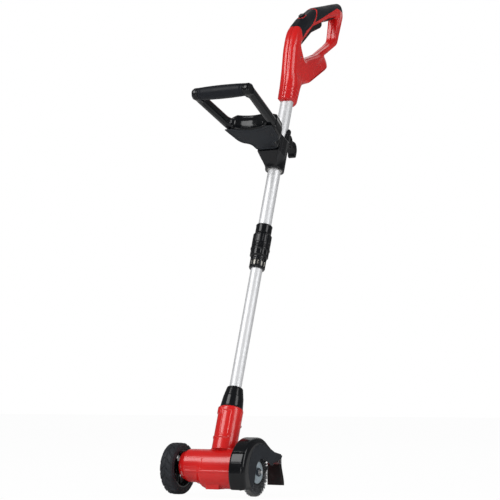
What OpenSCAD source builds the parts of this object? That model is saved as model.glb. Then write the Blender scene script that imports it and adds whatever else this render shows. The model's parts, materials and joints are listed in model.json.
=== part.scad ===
// Cordless joint weed brush: a powered wire brush and a guide wheel on a
// leaning telescopic pole, with a loop handle on top and a D-handle in front.
// X runs from the wheel to the brush, Y towards the operator, Z up.
// The origin is the centre of the rear grip, where the tool is held.

/* [Pole] */
// Lean of the pole from the vertical, in degrees
pole_lean = 20.6; // [15:0.1:26]
// Distance of the pole axis behind the brush axis, at the height of pole_foot_z
pole_foot_y = 12; // [8:1:16]
// Height on the pole axis from which every station along the pole is counted
pole_foot_z = 100; // [95:1:105]
// Outside diameter of the upper tube
upper_tube_d = 28; // [26:0.5:32]
// Wall of both tubes
tube_wall = 1.4; // [1.2:0.1:2]
// Length of the lower tube seen between the collar and the clamp
lower_exposed = 266; // [210:1:330]
// Length of the upper tube seen between the clamp and the rear handle
upper_exposed = 297; // [247:1:360]
// How far the lower tube reaches above the foot of the clamp
tube_overlap = 250; // [230:1:290]

/* [Telescopic clamp] */
// Length of the whole clamp
clamp_len = 101; // [90:1:130]
// Length of the turning nut
clamp_nut_len = 47; // [42:1:55]
// Largest radius of the clamp
clamp_r = 20; // [19.5:0.5:24]

/* [Front handle] */
// Height of the front handle's underside above the clamp
front_offset = 161; // [150:1:175]
// Reach of the front grip in front of the pole axis
front_reach = 264; // [230:1:310]
// Half of the width over the front handle's two arms
front_half_w = 69; // [62:1:80]
// Radius of the rubber sleeve at the middle of the front grip
front_grip_r = 15; // [14:0.5:17]
// Height of the hollow web between the arms
web_h = 38; // [34:1:45]

/* [Rear handle] */
// Width of the loop handle across its two shells
handle_w = 36; // [34:1:44]
// Wall of the handle shells
handle_wall = 3.5; // [3.2:0.1:4.2]
// Thickness of the soft grip pads
pad_t = 1.5; // [1:0.1:1.8]
// Width of the trigger
trigger_w = 15; // [12:1:18]
// Depth that the upper tube reaches into the handle
tube_seat = 95; // [80:1:98]

/* [Head] */
// Length of the neck above the pole's reference point
neck_len = 77; // [75:1:95]
// Outside radius of the neck
neck_r = 25.5; // [23.5:0.5:28]
// Height of the cone collar on the neck
cone_h = 45; // [34:1:48]
// Radius of the motor barrel
barrel_r = 33.5; // [33:0.5:38]
// Height of the barrel's axis
barrel_z = 58.5; // [56:0.5:60]
// Face of the barrel beside the wheel, measured from the pole axis
barrel_left = 84; // [80:1:100]
// Wall of the head shells
head_wall = 2.5; // [2:0.1:3]

/* [Wheel] */
// Radius of the guide wheel over its tyre
wheel_r = 52; // [48:1:58]
// Width of the tyre
wheel_w = 28; // [22:1:36]
// Gap between the barrel and the tyre
wheel_gap = 4; // [3:0.5:8]

/* [Brush and guard] */
// Radius of the wire brush
brush_r = 48.4; // [44:0.1:52]
// Thickness of the wire ring
brush_w = 11.4; // [8:0.1:13]
// Outside radius of the guard
guard_r = 68.5; // [64:0.5:76]
// Width of the guard along the brush axis
guard_w = 37; // [36:1:44]
// Wall of the guard
guard_wall = 2.8; // [2.2:0.1:3.4]

/* [Fits] */
// Radial clearance of a part that turns or slides in another
running_gap = 0.08; // [0.05:0.01:0.1]
// Clearance between neighbours that move apart
free_gap = 0.4; // [0.3:0.05:0.6]

/* [Hidden] */
$fn = 64;

tiny = 0.01;
far = 400;

// Tube sizes follow from the upper tube: the lower one slides in its bore
upper_r = upper_tube_d / 2;
upper_bore = upper_r - tube_wall;
lower_r = upper_bore - running_gap;
lower_bore = lower_r - tube_wall;

// Stations along the pole, counted up from the reference point
s_cone = neck_len;
s_cone_top = s_cone + cone_h;
s_clamp = s_cone_top + lower_exposed;
s_clamp_top = s_clamp + clamp_len;
s_front = s_clamp_top + front_offset;
s_handle = s_clamp_top + upper_exposed;
s_lower_end = neck_len - 40;
s_lower_top = s_clamp + tube_overlap;
s_upper_end = s_clamp + clamp_nut_len + 10;
s_lead = s_cone_top + 150;
s_upper_top = s_handle + tube_seat;

// Side outline of the rear handle: distance behind the pole, height above its mouth
handle_points = [
    [-22, 4], [-24, 46], [-37, 122], [-37, 168], [-27, 189], [-7, 224], [36, 281], [86, 321],
    [141, 364], [158, 358], [166, 342], [160, 252], [106, 188], [118, 185], [127, 179],
    [121, 162], [57, 89], [32, 67], [26, 52], [22, 4]
];
// Side outline of the finger loop
loop_points = [
    [-6, 150], [3, 167], [36, 224], [105, 289], [140, 316], [147, 256], [131, 234],
    [85, 182], [20, 128]
];
// Borders of the two soft pads on the grip
pad_front_points = [
    [-60, 188], [-27, 186], [-11, 163], [0, 190], [22, 219], [30, 245], [33, 268], [25, 300], [-60, 300]
];
pad_rear_points = [
    [28, 300], [37, 268], [34, 245], [28, 223], [127, 329], [147, 346], [175, 346], [160, 390], [80, 390]
];
// Places of the screws through the two handle shells
handle_screw_places = [[-5, 118], [-24, 172], [134, 322], [153.5, 285], [97, 166], [30, 84]];
handle_boss_r = 4.2;
screw_r = 1.8;

// Trigger: side outline, hinge pin and the slot it moves in
trigger_points = [
    [1, 163], [7, 158], [42, 213], [80, 249], [84, 257], [79, 267], [69, 267], [56, 252],
    [28, 229], [-3, 174]
];
trigger_slot_points = [
    [-4, 159], [7, 150], [45, 205], [92, 250], [88, 274], [50, 268], [-14, 184]
];
trigger_pivot = [74, 264];
trigger_pin_r = 2;
spring_foot = [38, 240];
spring_len = 20;
spring_r = 3.4;
spring_wire_r = 0.5;
spring_turns = 6;

// Lock-off button: its place on the grip and the tilt of its slide
button_place = [-3, 229];
button_tilt = atan2(57, 43);
button_len = 15;
button_w = 10;
button_stroke = 3;
button_depth = 6.5;
button_flange = 5;

// Battery foot: its lower face runs from foot_start along foot_angle
foot_start = [57, 89];
foot_end = [121, 162];
foot_angle = atan2(foot_end[1] - foot_start[1], foot_end[0] - foot_start[0]);
foot_len = norm(foot_end - foot_start);
terminal_size = [26, 38, 12];

// Grip centre in the pole's own directions, which is the tool's origin
grip_centre = [72, 283];

// Front handle, seen from above along the pole
web_front = front_reach - 127;
web_back = 44;
opening_front = front_reach - 14;
arm_outer = front_half_w - 11;
arm_w = 15;
arm_t = [5, 29];
bar_t = 17;
bar_end_r = 13.5;
bar_core_r = 9;
sleeve_half = front_half_w - 17;

// Bracket collar round the upper tube and its cam lever
collar_low = -28;
collar_high = 72;
collar_r = upper_r + 7;
lever_pivot = [upper_r + 13, 58];
cam_r = 8;
lever_w = 16;
lever_ear_t = 4;

// Head
brush_z = brush_r + 0.1;
belly_r = barrel_r - 0.5;
head_right = 48.5;
motor_r = 21;
motor_left = -54;
motor_right = 7.5;
pinion_teeth = 10;
gear_teeth = 40;
gear_module = 1;
gear_offset = gear_module * (gear_teeth - pinion_teeth) / 2;
motor_z = brush_z + gear_offset;
motor_shaft_r = 2.5;
housing_r = 27.5;
housing_left = 8;
spindle_r = 5;
bearing_r = 13;
bearing_w = 8;
bearing_starts = [30, 38.5];
spindle_tip_r = 4;

// Guard and brush stations along X
guard_left = head_right + 0.3;
guard_right = guard_left + guard_w;
brush_left = guard_right - 17.8;
brush_right = brush_left + brush_w;
flange_r = 22.5;
flange_t = 2;
nut_t = 4.5;
spindle_shoulder = brush_right + flange_t + nut_t + 0.1;
spindle_end = spindle_shoulder + 4.5;
guard_screw_angles = [60, 180, 300];
guard_screw_circle = 23;
guard_front_angle = 118;
guard_rear_angle = 38;
tail_tip = [104, 32.5];
// Outline of the face's opening about the brush axis: forward, then up
window_points = [
    [-53, 11], [-40, 16], [-30, 21.5], [-16, 26], [-4, 25], [5, 20], [12, 14], [15.5, 1], [20.5, -16.5],
    [24, -24.5], [32, -29.5], [41.5, -31.7], [57, -32.5], [80, -90], [-90, -90], [-90, 2], [-60, 8]
];
flap_t = 3;
flap_y = 96;
flap_bottom = 18;

// Wheel stations along X
wheel_right = -barrel_left - wheel_gap;
wheel_left = wheel_right - wheel_w;
axle_r = 4;
rim_r = wheel_r - 13;
rim_t = 4;
hub_r = 12;
tread_count = 20;

// ---------- directions and placing ----------

// The pole's own frame: Z along the pole, Y square to it towards the operator
module on_pole(s = 0) {
    translate([0, pole_foot_y, pole_foot_z])
        rotate([-pole_lean, 0, 0])
            translate([0, 0, s])
                children();
}

// A point given behind the pole and along it, in the ground frame
function pole_point(behind, along) = [
    0,
    pole_foot_y + behind * cos(pole_lean) + along * sin(pole_lean),
    pole_foot_z - behind * sin(pole_lean) + along * cos(pole_lean)
];

// Moves the whole tool so that the grip centre is the origin
module tool() {
    translate(-pole_point(grip_centre[0], s_handle + grip_centre[1]))
        children();
}

// A flat outline in the plane of the pole, given a width along X about the middle
module slab(width) {
    rotate([90, 0, 90])
        linear_extrude(width, center = true)
            children();
}

// A pin along X between two stations, at a place in the plane of the pole
module cross_pin(r, x_from, x_to, place) {
    translate([x_from, place[0], place[1]])
        rotate([0, 90, 0])
            cylinder(r = r, h = x_to - x_from);
}

// A turned part along X, at a height above the ground
module x_rod(r, x_from, x_to, z) {
    cross_pin(r, x_from, x_to, [0, z]);
}

module x_ring(r_out, r_in, x_from, x_to, z) {
    difference() {
        x_rod(r_out, x_from, x_to, z);
        x_rod(r_in, x_from - 1, x_to + 1, z);
    }
}

// ---------- rear handle ----------

module rear_handle() {
    tool() on_pole(s_handle) children();
}

module handle_section(inset) {
    difference() {
        offset(delta = -inset) polygon(handle_points);
        offset(delta = inset) polygon(loop_points);
    }
}

module pad_skin(border) {
    difference() {
        slab(handle_w)
            intersection() {
                handle_section(0);
                polygon(border);
            }
        slab(handle_w - 2 * pad_t)
            offset(delta = -pad_t) polygon(handle_points);
    }
}

// Runs along the battery foot: X across, Y along the foot, Z into the handle
module on_foot() {
    translate([0, foot_start[0], foot_start[1]])
        rotate([foot_angle, 0, 0])
            children();
}

// A place in the handle with Z turned back to the vertical of the ground
module upright_at(place) {
    translate([0, place[0], place[1]])
        rotate([pole_lean, 0, 0])
            children();
}

module button_frame() {
    translate([0, button_place[0], button_place[1]])
        rotate([button_tilt, 0, 0])
            children();
}

module handle_casing() {
    difference() {
        union() {
            difference() {
                union() {
                    slab(handle_w) handle_section(0);
                    cylinder(r1 = upper_r + 2, r2 = upper_r + 8, h = 10);
                    translate([0, 0, 10]) cylinder(r = upper_r + 8, h = 10);
                }
                slab(handle_w - 2 * handle_wall) handle_section(handle_wall);
            }
            cylinder(r = upper_r + 2.5, h = tube_seat);
            upright_at(spring_foot)
                translate([0, 0, spring_len + 0.2]) cylinder(r = spring_r + 1.6, h = 7.5);
            for (place = handle_screw_places)
                cross_pin(handle_boss_r, -handle_w / 2 + 1, handle_w / 2 - 1, place);
            for (side = [-1, 1])
                cross_pin(4.5, side * (handle_w / 4 + 4.2) - handle_w / 4 + 5,
                          side * (handle_w / 4 + 4.2) + handle_w / 4 - 5, trigger_pivot);
        }
        translate([0, 0, -1]) cylinder(r = upper_r + 0.05, h = tube_seat + 1);
        slab(trigger_w + 1.2) polygon(trigger_slot_points);
        for (place = handle_screw_places) {
            cross_pin(screw_r + 0.05, -handle_w, handle_w / 2 - 6, place);
            cross_pin(screw_r * 1.9, -handle_w, -handle_w / 2 + 2, place);
        }
        cross_pin(trigger_pin_r + 0.05, -handle_w / 2 + 3, handle_w / 2 - 3, trigger_pivot);
        cross_pin(2.55, -handle_w / 2 + 1.5, handle_w / 2 - 1.5, [0, 70]);
        button_frame()
            cube([button_w + 0.8, button_len + 0.8, 30], center = true);
        on_foot() {
            translate([-terminal_size[0] / 2 - 0.1, 22, -1])
                cube([terminal_size[0] + 0.2, terminal_size[1] + 0.2, terminal_size[2] + 2]);
            for (side = [-1, 1])
                translate([side * handle_w / 2, foot_len / 2, 9])
                    cube([6, foot_len + 30, 4], center = true);
        }
        pad_skin(pad_front_points);
        pad_skin(pad_rear_points);
    }
}

module handle_half(side) {
    intersection() {
        handle_casing();
        translate([side * far / 2, 0, 180]) cube([far, 2 * far, 2 * far], center = true);
    }
}

module handle_shell_left() {
    color([0.78, 0.08, 0.1]) rear_handle() handle_half(-1);
}

module handle_shell_right() {
    color([0.78, 0.08, 0.1]) rear_handle() handle_half(1);
}

module handle_screws() {
    color([0.75, 0.76, 0.78]) rear_handle()
        for (place = handle_screw_places) {
            cross_pin(screw_r, -handle_w / 2 + 1, handle_w / 2 - 7, place);
            cross_pin(screw_r * 1.8, -handle_w / 2 + 0.6, -handle_w / 2 + 1.9, place);
        }
}

module grip_pad_front() {
    color([0.1, 0.11, 0.13]) rear_handle()
        difference() {
            pad_skin(pad_front_points);
            button_frame() cube([button_w + 0.8, button_len + 0.8, 30], center = true);
        }
}

module grip_pad_rear() {
    color([0.1, 0.11, 0.13]) rear_handle() pad_skin(pad_rear_points);
}

module trigger() {
    color([0.06, 0.06, 0.07]) rear_handle()
        difference() {
            union() {
                slab(trigger_w) polygon(trigger_points);
                cross_pin(6, -trigger_w / 2, trigger_w / 2, trigger_pivot);
                upright_at(spring_foot)
                    translate([0, 0, -9]) cylinder(r = spring_r + 1.6, h = 9);
            }
            cross_pin(trigger_pin_r + running_gap, -trigger_w, trigger_w, trigger_pivot);
        }
}

module trigger_pin() {
    color([0.75, 0.76, 0.78]) rear_handle()
        cross_pin(trigger_pin_r, -handle_w / 2 + 3.5, handle_w / 2 - 3.5, trigger_pivot);
}

// A coil spring swept along its own helix: points of one ring after another
function spring_ring(turn, coil_r, wire_r, rise, sides) = [
    for (i = [0 : sides - 1])
        let (a = 360 * i / sides, c = coil_r + wire_r * cos(a))
            [c * cos(360 * turn), c * sin(360 * turn), rise * turn + wire_r * sin(a)]
];

module coil_spring(coil_r, wire_r, turns, rise) {
    sides = 6;
    steps = 14;
    rings = turns * steps;
    points = [for (k = [0 : rings]) each spring_ring(k / steps, coil_r, wire_r, rise, sides)];
    bands = [
        for (k = [0 : rings - 1], i = [0 : sides - 1])
            let (j = (i + 1) % sides)
                [k * sides + i, k * sides + j, (k + 1) * sides + j, (k + 1) * sides + i]
    ];
    start = [for (i = [0 : sides - 1]) sides - 1 - i];
    end = [for (i = [0 : sides - 1]) rings * sides + i];
    polyhedron(points = points, faces = concat(bands, [start, end]), convexity = 8);
}

module trigger_spring() {
    color([0.75, 0.76, 0.78]) rear_handle()
        upright_at(spring_foot)
            translate([0, 0, spring_wire_r + 0.1])
                coil_spring(spring_r, spring_wire_r, spring_turns,
                            (spring_len - 2 * spring_wire_r) / spring_turns);
}

module trigger_switch() {
    color([0.15, 0.15, 0.16]) rear_handle()
        translate([0, -7, 198])
            rotate([60, 0, 0])
                cube([14, 24, 11], center = true);
}

module lock_off_button() {
    color([0.05, 0.05, 0.06]) rear_handle()
        button_frame()
            translate([0, 0, -button_depth]) {
                linear_extrude(button_depth + button_stroke + 1)
                    square([button_w, button_len], center = true);
                linear_extrude(2)
                    square([button_w + button_flange, button_len + button_flange], center = true);
            }
}

module terminal_block() {
    color([0.12, 0.12, 0.13]) rear_handle()
        on_foot()
            difference() {
                translate([-terminal_size[0] / 2, 22.1, 2])
                    cube([terminal_size[0], terminal_size[1], terminal_size[2] - 1]);
                for (place = [-8, 0, 8])
                    translate([place - 0.45, 26, 0]) cube([0.9, 30, 9]);
            }
}

module contact_blades() {
    color([0.85, 0.7, 0.35]) rear_handle()
        on_foot()
            for (place = [-8, 0, 8])
                translate([place - 0.4, 30, 0.5]) cube([0.8, 20, 8]);
}

// ---------- pole and telescopic clamp ----------

module upper_tube() {
    color([0.82, 0.83, 0.85]) tool() on_pole()
        difference() {
            translate([0, 0, s_upper_end]) cylinder(r = upper_r, h = s_upper_top - s_upper_end);
            translate([0, 0, s_upper_end - 1]) cylinder(r = upper_bore, h = s_upper_top - s_upper_end + 2);
            cross_pin(2.55, -far, far, [0, s_handle + 70]);
        }
}

module tube_bolt() {
    color([0.75, 0.76, 0.78]) rear_handle()
        cross_pin(2.5, -handle_w / 2 + 2, handle_w / 2 - 2, [0, 70]);
}

module coiled_lead() {
    color([0.08, 0.08, 0.09]) tool() on_pole(s_lead)
        difference() {
            cylinder(r = 8, h = s_handle + 60 - s_lead);
            translate([0, 0, -1]) cylinder(r = 5, h = far * 2);
        }
}

module lower_tube() {
    color([0.82, 0.83, 0.85]) tool() on_pole()
        difference() {
            translate([0, 0, s_lower_end]) cylinder(r = lower_r, h = s_lower_top - s_lower_end);
            translate([0, 0, s_lower_end - 1]) cylinder(r = lower_bore, h = s_lower_top - s_lower_end + 2);
            cross_pin(2.05, -far, far, [0, s_cone - 18]);
        }
}

module lower_lead() {
    start = s_cone - 15;
    color([0.08, 0.08, 0.09]) tool() on_pole(start)
        cylinder(r = 2.5, h = s_lead - 5 - start);
}

// Grooves and flats give the clamp's two halves their grip
module clamp_body() {
    nut_top = s_clamp + clamp_nut_len;
    spigot_r = upper_r + 2;
    color([0.05, 0.05, 0.06]) tool() on_pole()
        difference() {
            union() {
                translate([0, 0, s_clamp_top - 22]) cylinder(r = upper_r + 3.3, h = 22);
                translate([0, 0, nut_top + 8]) cylinder(r = clamp_r, h = clamp_len - clamp_nut_len - 30);
                for (k = [0 : 2])
                    translate([0, 0, nut_top + 0.6 + 3 * k]) cylinder(r = clamp_r - 0.6, h = 2);
                translate([0, 0, nut_top + 0.4]) cylinder(r = clamp_r - 1.6, h = 10);
                translate([0, 0, s_clamp + 17]) cylinder(r = spigot_r, h = clamp_nut_len);
            }
            translate([0, 0, s_upper_end - 0.2]) cylinder(r = upper_r + 0.05, h = clamp_len);
            translate([0, 0, s_clamp]) cylinder(r = lower_r + running_gap, h = clamp_len);
            for (a = [0 : 45 : 315])
                rotate([0, 0, a])
                    translate([clamp_r + 2.6, 0, s_clamp_top - 30]) cube([6, 9, 16], center = true);
        }
}

module clamp_collet() {
    color([0.85, 0.85, 0.82]) tool() on_pole(s_clamp + 4)
        difference() {
            cylinder(r = upper_r + 1.4, h = 12.5);
            translate([0, 0, -1]) cylinder(r = lower_r + running_gap, h = 20);
            for (a = [0 : 60 : 300])
                rotate([0, 0, a]) translate([upper_r, 0, 2]) cube([8, 1, 14], center = true);
        }
}

module clamp_nut() {
    color([0.05, 0.05, 0.06]) tool() on_pole(s_clamp)
        difference() {
            union() {
                translate([0, 0, 28]) cylinder(r = clamp_r, h = clamp_nut_len - 32);
                translate([0, 0, clamp_nut_len - 4]) cylinder(r = clamp_r + 0.8, h = 4);
                translate([0, 0, 3]) cylinder(r = upper_r + 4, h = 26);
                cylinder(r1 = upper_r + 2.4, r2 = upper_r + 4, h = 3);
            }
            translate([0, 0, 3.6]) cylinder(r = upper_r + 2 + free_gap, h = clamp_nut_len);
            translate([0, 0, -1]) cylinder(r = lower_r + free_gap, h = clamp_nut_len);
            for (a = [22.5 : 45 : 360])
                rotate([0, 0, a]) {
                    translate([clamp_r + 2.7, 0, 36]) cube([6, 8, 12], center = true);
                    translate([upper_r + 6.4, 0, 14]) cube([6, 7, 18], center = true);
                }
        }
}

// ---------- front handle ----------

module front_handle() {
    tool() on_pole(s_front) children();
}

// The web's front edge is a shallow arc between the arms
function opening_edge(n = 8) = [
    for (i = [0 : n])
        let (x = (arm_outer - arm_w) * (2 * i / n - 1))
            [x, -web_front - 8 + 12 * (1 - pow(x / (arm_outer - arm_w), 2))]
];

module opening_shape() {
    polygon(concat(
        opening_edge(),
        [[front_half_w - arm_w - 1, -opening_front], [-front_half_w + arm_w + 1, -opening_front]]
    ));
}

web_half = [
    [front_half_w, -front_reach + 2], [arm_outer, -web_front], [arm_outer - 6, -web_front + 46],
    [arm_outer - 13, -web_front + 60], [28, -72], [28, -web_back]
];

module front_outline() {
    polygon(concat(web_half, [for (i = [5 : -1 : 0]) [-web_half[i][0], web_half[i][1]]]));
}

module web_outline() {
    intersection() {
        difference() {
            front_outline();
            opening_shape();
        }
        translate([-far, -web_front - 8]) square([2 * far, far]);
    }
}

cover_t = 2.5;
web_screw_places = [[-40, -104], [40, -104], [-18, -58], [18, -58]];
collar_screw_places = [[-16, 12], [16, 12], [-16, 28], [16, 28]];

module front_handle_frame() {
    color([0.05, 0.05, 0.06]) front_handle()
        difference() {
            union() {
                translate([0, 0, arm_t[0]])
                    linear_extrude(arm_t[1] - arm_t[0])
                        difference() {
                            front_outline();
                            opening_shape();
                        }
                linear_extrude(web_h) web_outline();
                cross_pin(bar_core_r, -front_half_w + 10, front_half_w - 10, [-front_reach, bar_t]);
                for (side = [-1, 1])
                    translate([side * (front_half_w - 12), -front_reach, bar_t]) sphere(r = bar_end_r);
            }
            sleeve_seat();
            translate([0, 0, -1])
                linear_extrude(web_h - 2)
                    offset(delta = -3) web_outline();
            for (place = collar_screw_places)
                translate([place[0], -web_back - 10, place[1]])
                    rotate([-90, 0, 0]) cylinder(r = screw_r + 0.05, h = 30);
        }
    color([0.05, 0.05, 0.06]) front_handle()
        for (place = web_screw_places)
            translate([place[0], place[1], cover_t + 0.1])
                difference() {
                    cylinder(r = 4.2, h = web_h - cover_t - 1);
                    translate([0, 0, -1]) cylinder(r = screw_r + 0.05, h = 13);
                }
}

// Room round the bar's core for the rubber sleeve
module sleeve_seat() {
    place = [-front_reach, bar_t];
    difference() {
        cross_pin(front_grip_r + 5, -sleeve_half - 0.1, sleeve_half + 0.1, place);
        cross_pin(bar_core_r, -front_half_w, front_half_w, place);
    }
}

// Barrel-shaped rubber sleeve on the bar, with a groove near each end
module front_grip_sleeve() {
    half = sleeve_half;
    color([0.1, 0.11, 0.12]) front_handle()
        translate([0, -front_reach, bar_t])
            rotate([0, 90, 0])
                difference() {
                    rotate_extrude()
                        polygon(concat(
                            [[bar_core_r + 0.05, -half], [bar_core_r + 0.05, half]],
                            [for (i = [8 : -1 : -8])
                                [front_grip_r - 1.8 * pow(i / 8, 2), half * i / 8]]
                        ));
                    for (side = [-1, 1])
                        translate([0, 0, side * (half - 5) - 0.75])
                            difference() {
                                cylinder(r = front_grip_r + 1, h = 1.5);
                                translate([0, 0, -1]) cylinder(r = front_grip_r - 2.6, h = 4);
                            }
                }
}

module web_cover() {
    color([0.13, 0.14, 0.16]) front_handle()
        difference() {
            linear_extrude(cover_t) offset(delta = -3.2) web_outline();
            for (place = web_screw_places)
                translate([place[0], place[1], -1]) {
                    cylinder(r = screw_r + 0.1, h = 5);
                    cylinder(r = 3.4, h = 2.4);
                }
        }
}

module web_screws() {
    color([0.55, 0.56, 0.58]) front_handle()
        for (place = web_screw_places)
            translate([place[0], place[1], 0.2]) {
                cylinder(r = screw_r, h = 12);
                cylinder(r = 3.2, h = 1.1);
            }
}

module collar_section() {
    circle(r = collar_r);
    polygon([[-26, -web_back + 0.05], [26, -web_back + 0.05], [24, -8], [collar_r, 4],
             [-collar_r, 4], [-24, -8]]);
}

module bracket_collar() {
    color([0.05, 0.05, 0.06]) front_handle()
        difference() {
            union() {
                hull() {
                    translate([0, 0, collar_low]) cylinder(r = collar_r - 2, h = 1, $fn = 32);
                    translate([0, 0, -1]) linear_extrude(1) collar_section($fn = 32);
                }
                linear_extrude(40) collar_section();
                translate([0, 0, 40]) cylinder(r = collar_r, h = collar_high - 40);
                for (side = [-1, 1])
                    translate([side * (lever_w / 2 + free_gap + lever_ear_t / 2), 0, 0])
                        slab(lever_ear_t)
                            hull() {
                                translate(lever_pivot) circle(r = 7, $fn = 32);
                                translate([10, 44]) square([4, 26]);
                            }
            }
            translate([0, 0, collar_low - 1])
                cylinder(r = upper_r + 2.05, h = collar_high - collar_low + 2);
            slab(lever_w + 2 * free_gap)
                translate([upper_r, 46]) square([60, 40]);
            slab(70)
                polygon([[-far, 46], [-8, 46], [-2, 80], [-far, 80]]);
            cross_pin(2.55, -30, 30, lever_pivot);
            for (place = collar_screw_places)
                translate([place[0], -web_back - 1, place[1]])
                    rotate([-90, 0, 0]) cylinder(r = screw_r + 0.05, h = 14);
        }
}

module bracket_bushes() {
    color([0.8, 0.8, 0.76]) front_handle()
        for (start = [collar_low + 1, 22])
            translate([0, 0, start])
                difference() {
                    cylinder(r = upper_r + 2, h = 20);
                    translate([0, 0, -1]) cylinder(r = upper_r + running_gap, h = 22);
                }
}

module collar_screws() {
    color([0.55, 0.56, 0.58]) front_handle()
        for (place = collar_screw_places)
            translate([place[0], -web_back - 5, place[1]])
                rotate([-90, 0, 0]) {
                    cylinder(r = screw_r, h = 17);
                    cylinder(r = 3.2, h = 1.8);
                }
}

module lever_pin() {
    color([0.75, 0.76, 0.78]) front_handle()
        cross_pin(2.5, -lever_w / 2 - lever_ear_t, lever_w / 2 + lever_ear_t, lever_pivot);
}

module pressure_pad() {
    color([0.8, 0.8, 0.76]) front_handle()
        difference() {
            translate([-6, 0, 50]) cube([12, upper_r + 4.3, 14]);
            translate([0, 0, 40]) cylinder(r = upper_r + 0.3, h = 40);
        }
}

module clamp_lever() {
    p = lever_pivot;
    color([0.05, 0.05, 0.06]) front_handle()
        difference() {
            union() {
                cross_pin(cam_r, -lever_w / 2, lever_w / 2, p);
                slab(lever_w)
                    polygon([
                        [p[0], p[1] + cam_r], [p[0] + 12, p[1] + 11], [p[0] + 26, p[1] + 13],
                        [p[0] + 35, p[1] + 8], [p[0] + 40, p[1] - 3], [p[0] + 39, p[1] - 19],
                        [p[0] + 35, p[1] - 19], [p[0] + 31, p[1] - 11], [p[0] + 22, p[1] - 5],
                        [p[0] + 8, p[1] - 5], [p[0], p[1] - cam_r]
                    ]);
            }
            cross_pin(2.5 + running_gap, -30, 30, p);
        }
}

// ---------- head ----------

module cone_collar() {
    color([0.05, 0.05, 0.06]) tool() on_pole(s_cone)
        difference() {
            union() {
                cylinder(r1 = neck_r - 1.5, r2 = neck_r - 3.2, h = cone_h * 0.56);
                translate([0, 0, cone_h * 0.56])
                    cylinder(r1 = neck_r - 3.2, r2 = lower_r + 3.8, h = cone_h * 0.44);
            }
            translate([0, 0, -1]) cylinder(r = lower_r + 0.05, h = cone_h + 2);
        }
}

module neck_bolt() {
    color([0.75, 0.76, 0.78]) tool() on_pole()
        cross_pin(2, -neck_r + 3, neck_r - 3, [0, s_cone - 18]);
}

// Screws that hold the rear shell: place along X, station on the pole, head depth
head_rear_screws = [[-19, 44, 16], [19, 44, 16]];

// Both head shells as one casing, before it is parted along the pole's plane
module head_casing() {
    difference() {
        union() {
            difference() {
                union() {
                    translate([-barrel_left, 0, barrel_z])
                        rotate([0, 90, 0]) cylinder(r1 = barrel_r - 5, r2 = barrel_r, h = 20);
                    x_rod(barrel_r, -barrel_left + 20, head_right, barrel_z);
                    translate([-46, 0, brush_z])
                        rotate([0, 90, 0]) cylinder(r1 = belly_r - 9, r2 = belly_r, h = 12);
                    x_rod(belly_r, -34, head_right, brush_z);
                    on_pole(-10) cylinder(r = neck_r, h = neck_len + 10);
                }
                x_rod(barrel_r - head_wall, -barrel_left + head_wall + 20, head_right - head_wall, barrel_z);
                translate([-barrel_left + head_wall, 0, barrel_z])
                    rotate([0, 90, 0])
                        cylinder(r1 = barrel_r - 5 - head_wall, r2 = barrel_r - head_wall, h = 20 + tiny);
                x_rod(belly_r - head_wall, -33, head_right - head_wall, brush_z);
                on_pole(-12) cylinder(r = neck_r - head_wall, h = neck_len - 42);
            }
            intersection() {
                x_rod(9, -barrel_left, -barrel_left + 24, wheel_r);
                x_rod(barrel_r - 1, -barrel_left, 0, barrel_z);
            }
        }
        on_pole(s_lower_end - 4) cylinder(r = lower_r + 0.05, h = neck_len);
        on_pole() cross_pin(2.05, -neck_r + 2.5, neck_r - 2.5, [0, s_cone - 18]);
        x_rod(axle_r + 0.05, -barrel_left - 1, -barrel_left + 22, wheel_r);
        x_rod(bearing_r + 4, 0, head_right + 1, brush_z);
        guard_screw_holes(head_right - 4, head_right + 1);
        for (place = head_rear_screws)
            on_pole(place[1]) translate([place[0], -8.2, 0])
                rotate([-90, 0, 0]) cylinder(r = screw_r + 0.1, h = 60);
    }
}

module head_half(side) {
    intersection() {
        head_casing();
        on_pole() translate([0, side * far / 2, 0]) cube([2 * far, far, 2 * far], center = true);
    }
}

module head_shell_front() {
    color([0.78, 0.08, 0.1]) tool() head_half(-1);
}

module head_shell_rear() {
    color([0.78, 0.08, 0.1]) tool()
        difference() {
            head_half(1);
            for (place = head_rear_screws)
                on_pole(place[1]) translate([place[0], place[2] - 2, 0])
                    rotate([-90, 0, 0]) cylinder(r = 3.6, h = 30);
        }
}

module head_screws() {
    color([0.55, 0.56, 0.58]) tool()
        for (place = head_rear_screws)
            on_pole(place[1]) translate([place[0], 0, 0])
                rotate([-90, 0, 0]) {
                    translate([0, 0, -8]) cylinder(r = screw_r, h = place[2] + 7);
                    translate([0, 0, place[2] - 1.9]) cylinder(r = 3.2, h = 1.8);
                }
}

module motor_can() {
    color([0.55, 0.57, 0.6]) tool()
        difference() {
            x_rod(motor_r, motor_left, motor_right, motor_z);
            x_rod(motor_r - 1.5, motor_left + 4, motor_right - 3, motor_z);
            x_rod(motor_shaft_r + running_gap, motor_left - 1, motor_right + 1, motor_z);
        }
}

module motor_magnets() {
    color([0.2, 0.2, 0.22]) tool()
        difference() {
            x_ring(motor_r - 1.55, motor_r - 6, motor_left + 10, motor_right - 10, motor_z);
            translate([-30, 0, motor_z]) cube([100, 60, 8], center = true);
        }
}

module motor_armature() {
    color([0.7, 0.45, 0.2]) tool()
        difference() {
            x_rod(13.5, motor_left + 14, motor_right - 14, motor_z);
            x_rod(motor_shaft_r + 0.02, motor_left, motor_right, motor_z);
            for (a = [0 : 60 : 300])
                translate([0, 0, motor_z]) rotate([a, 0, 0])
                    translate([-25, 0, 13]) cube([80, 2.4, 8], center = true);
        }
}

module motor_shaft() {
    color([0.75, 0.76, 0.78]) tool() x_rod(motor_shaft_r, motor_left + 0.5, 22.5, motor_z);
}

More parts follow.
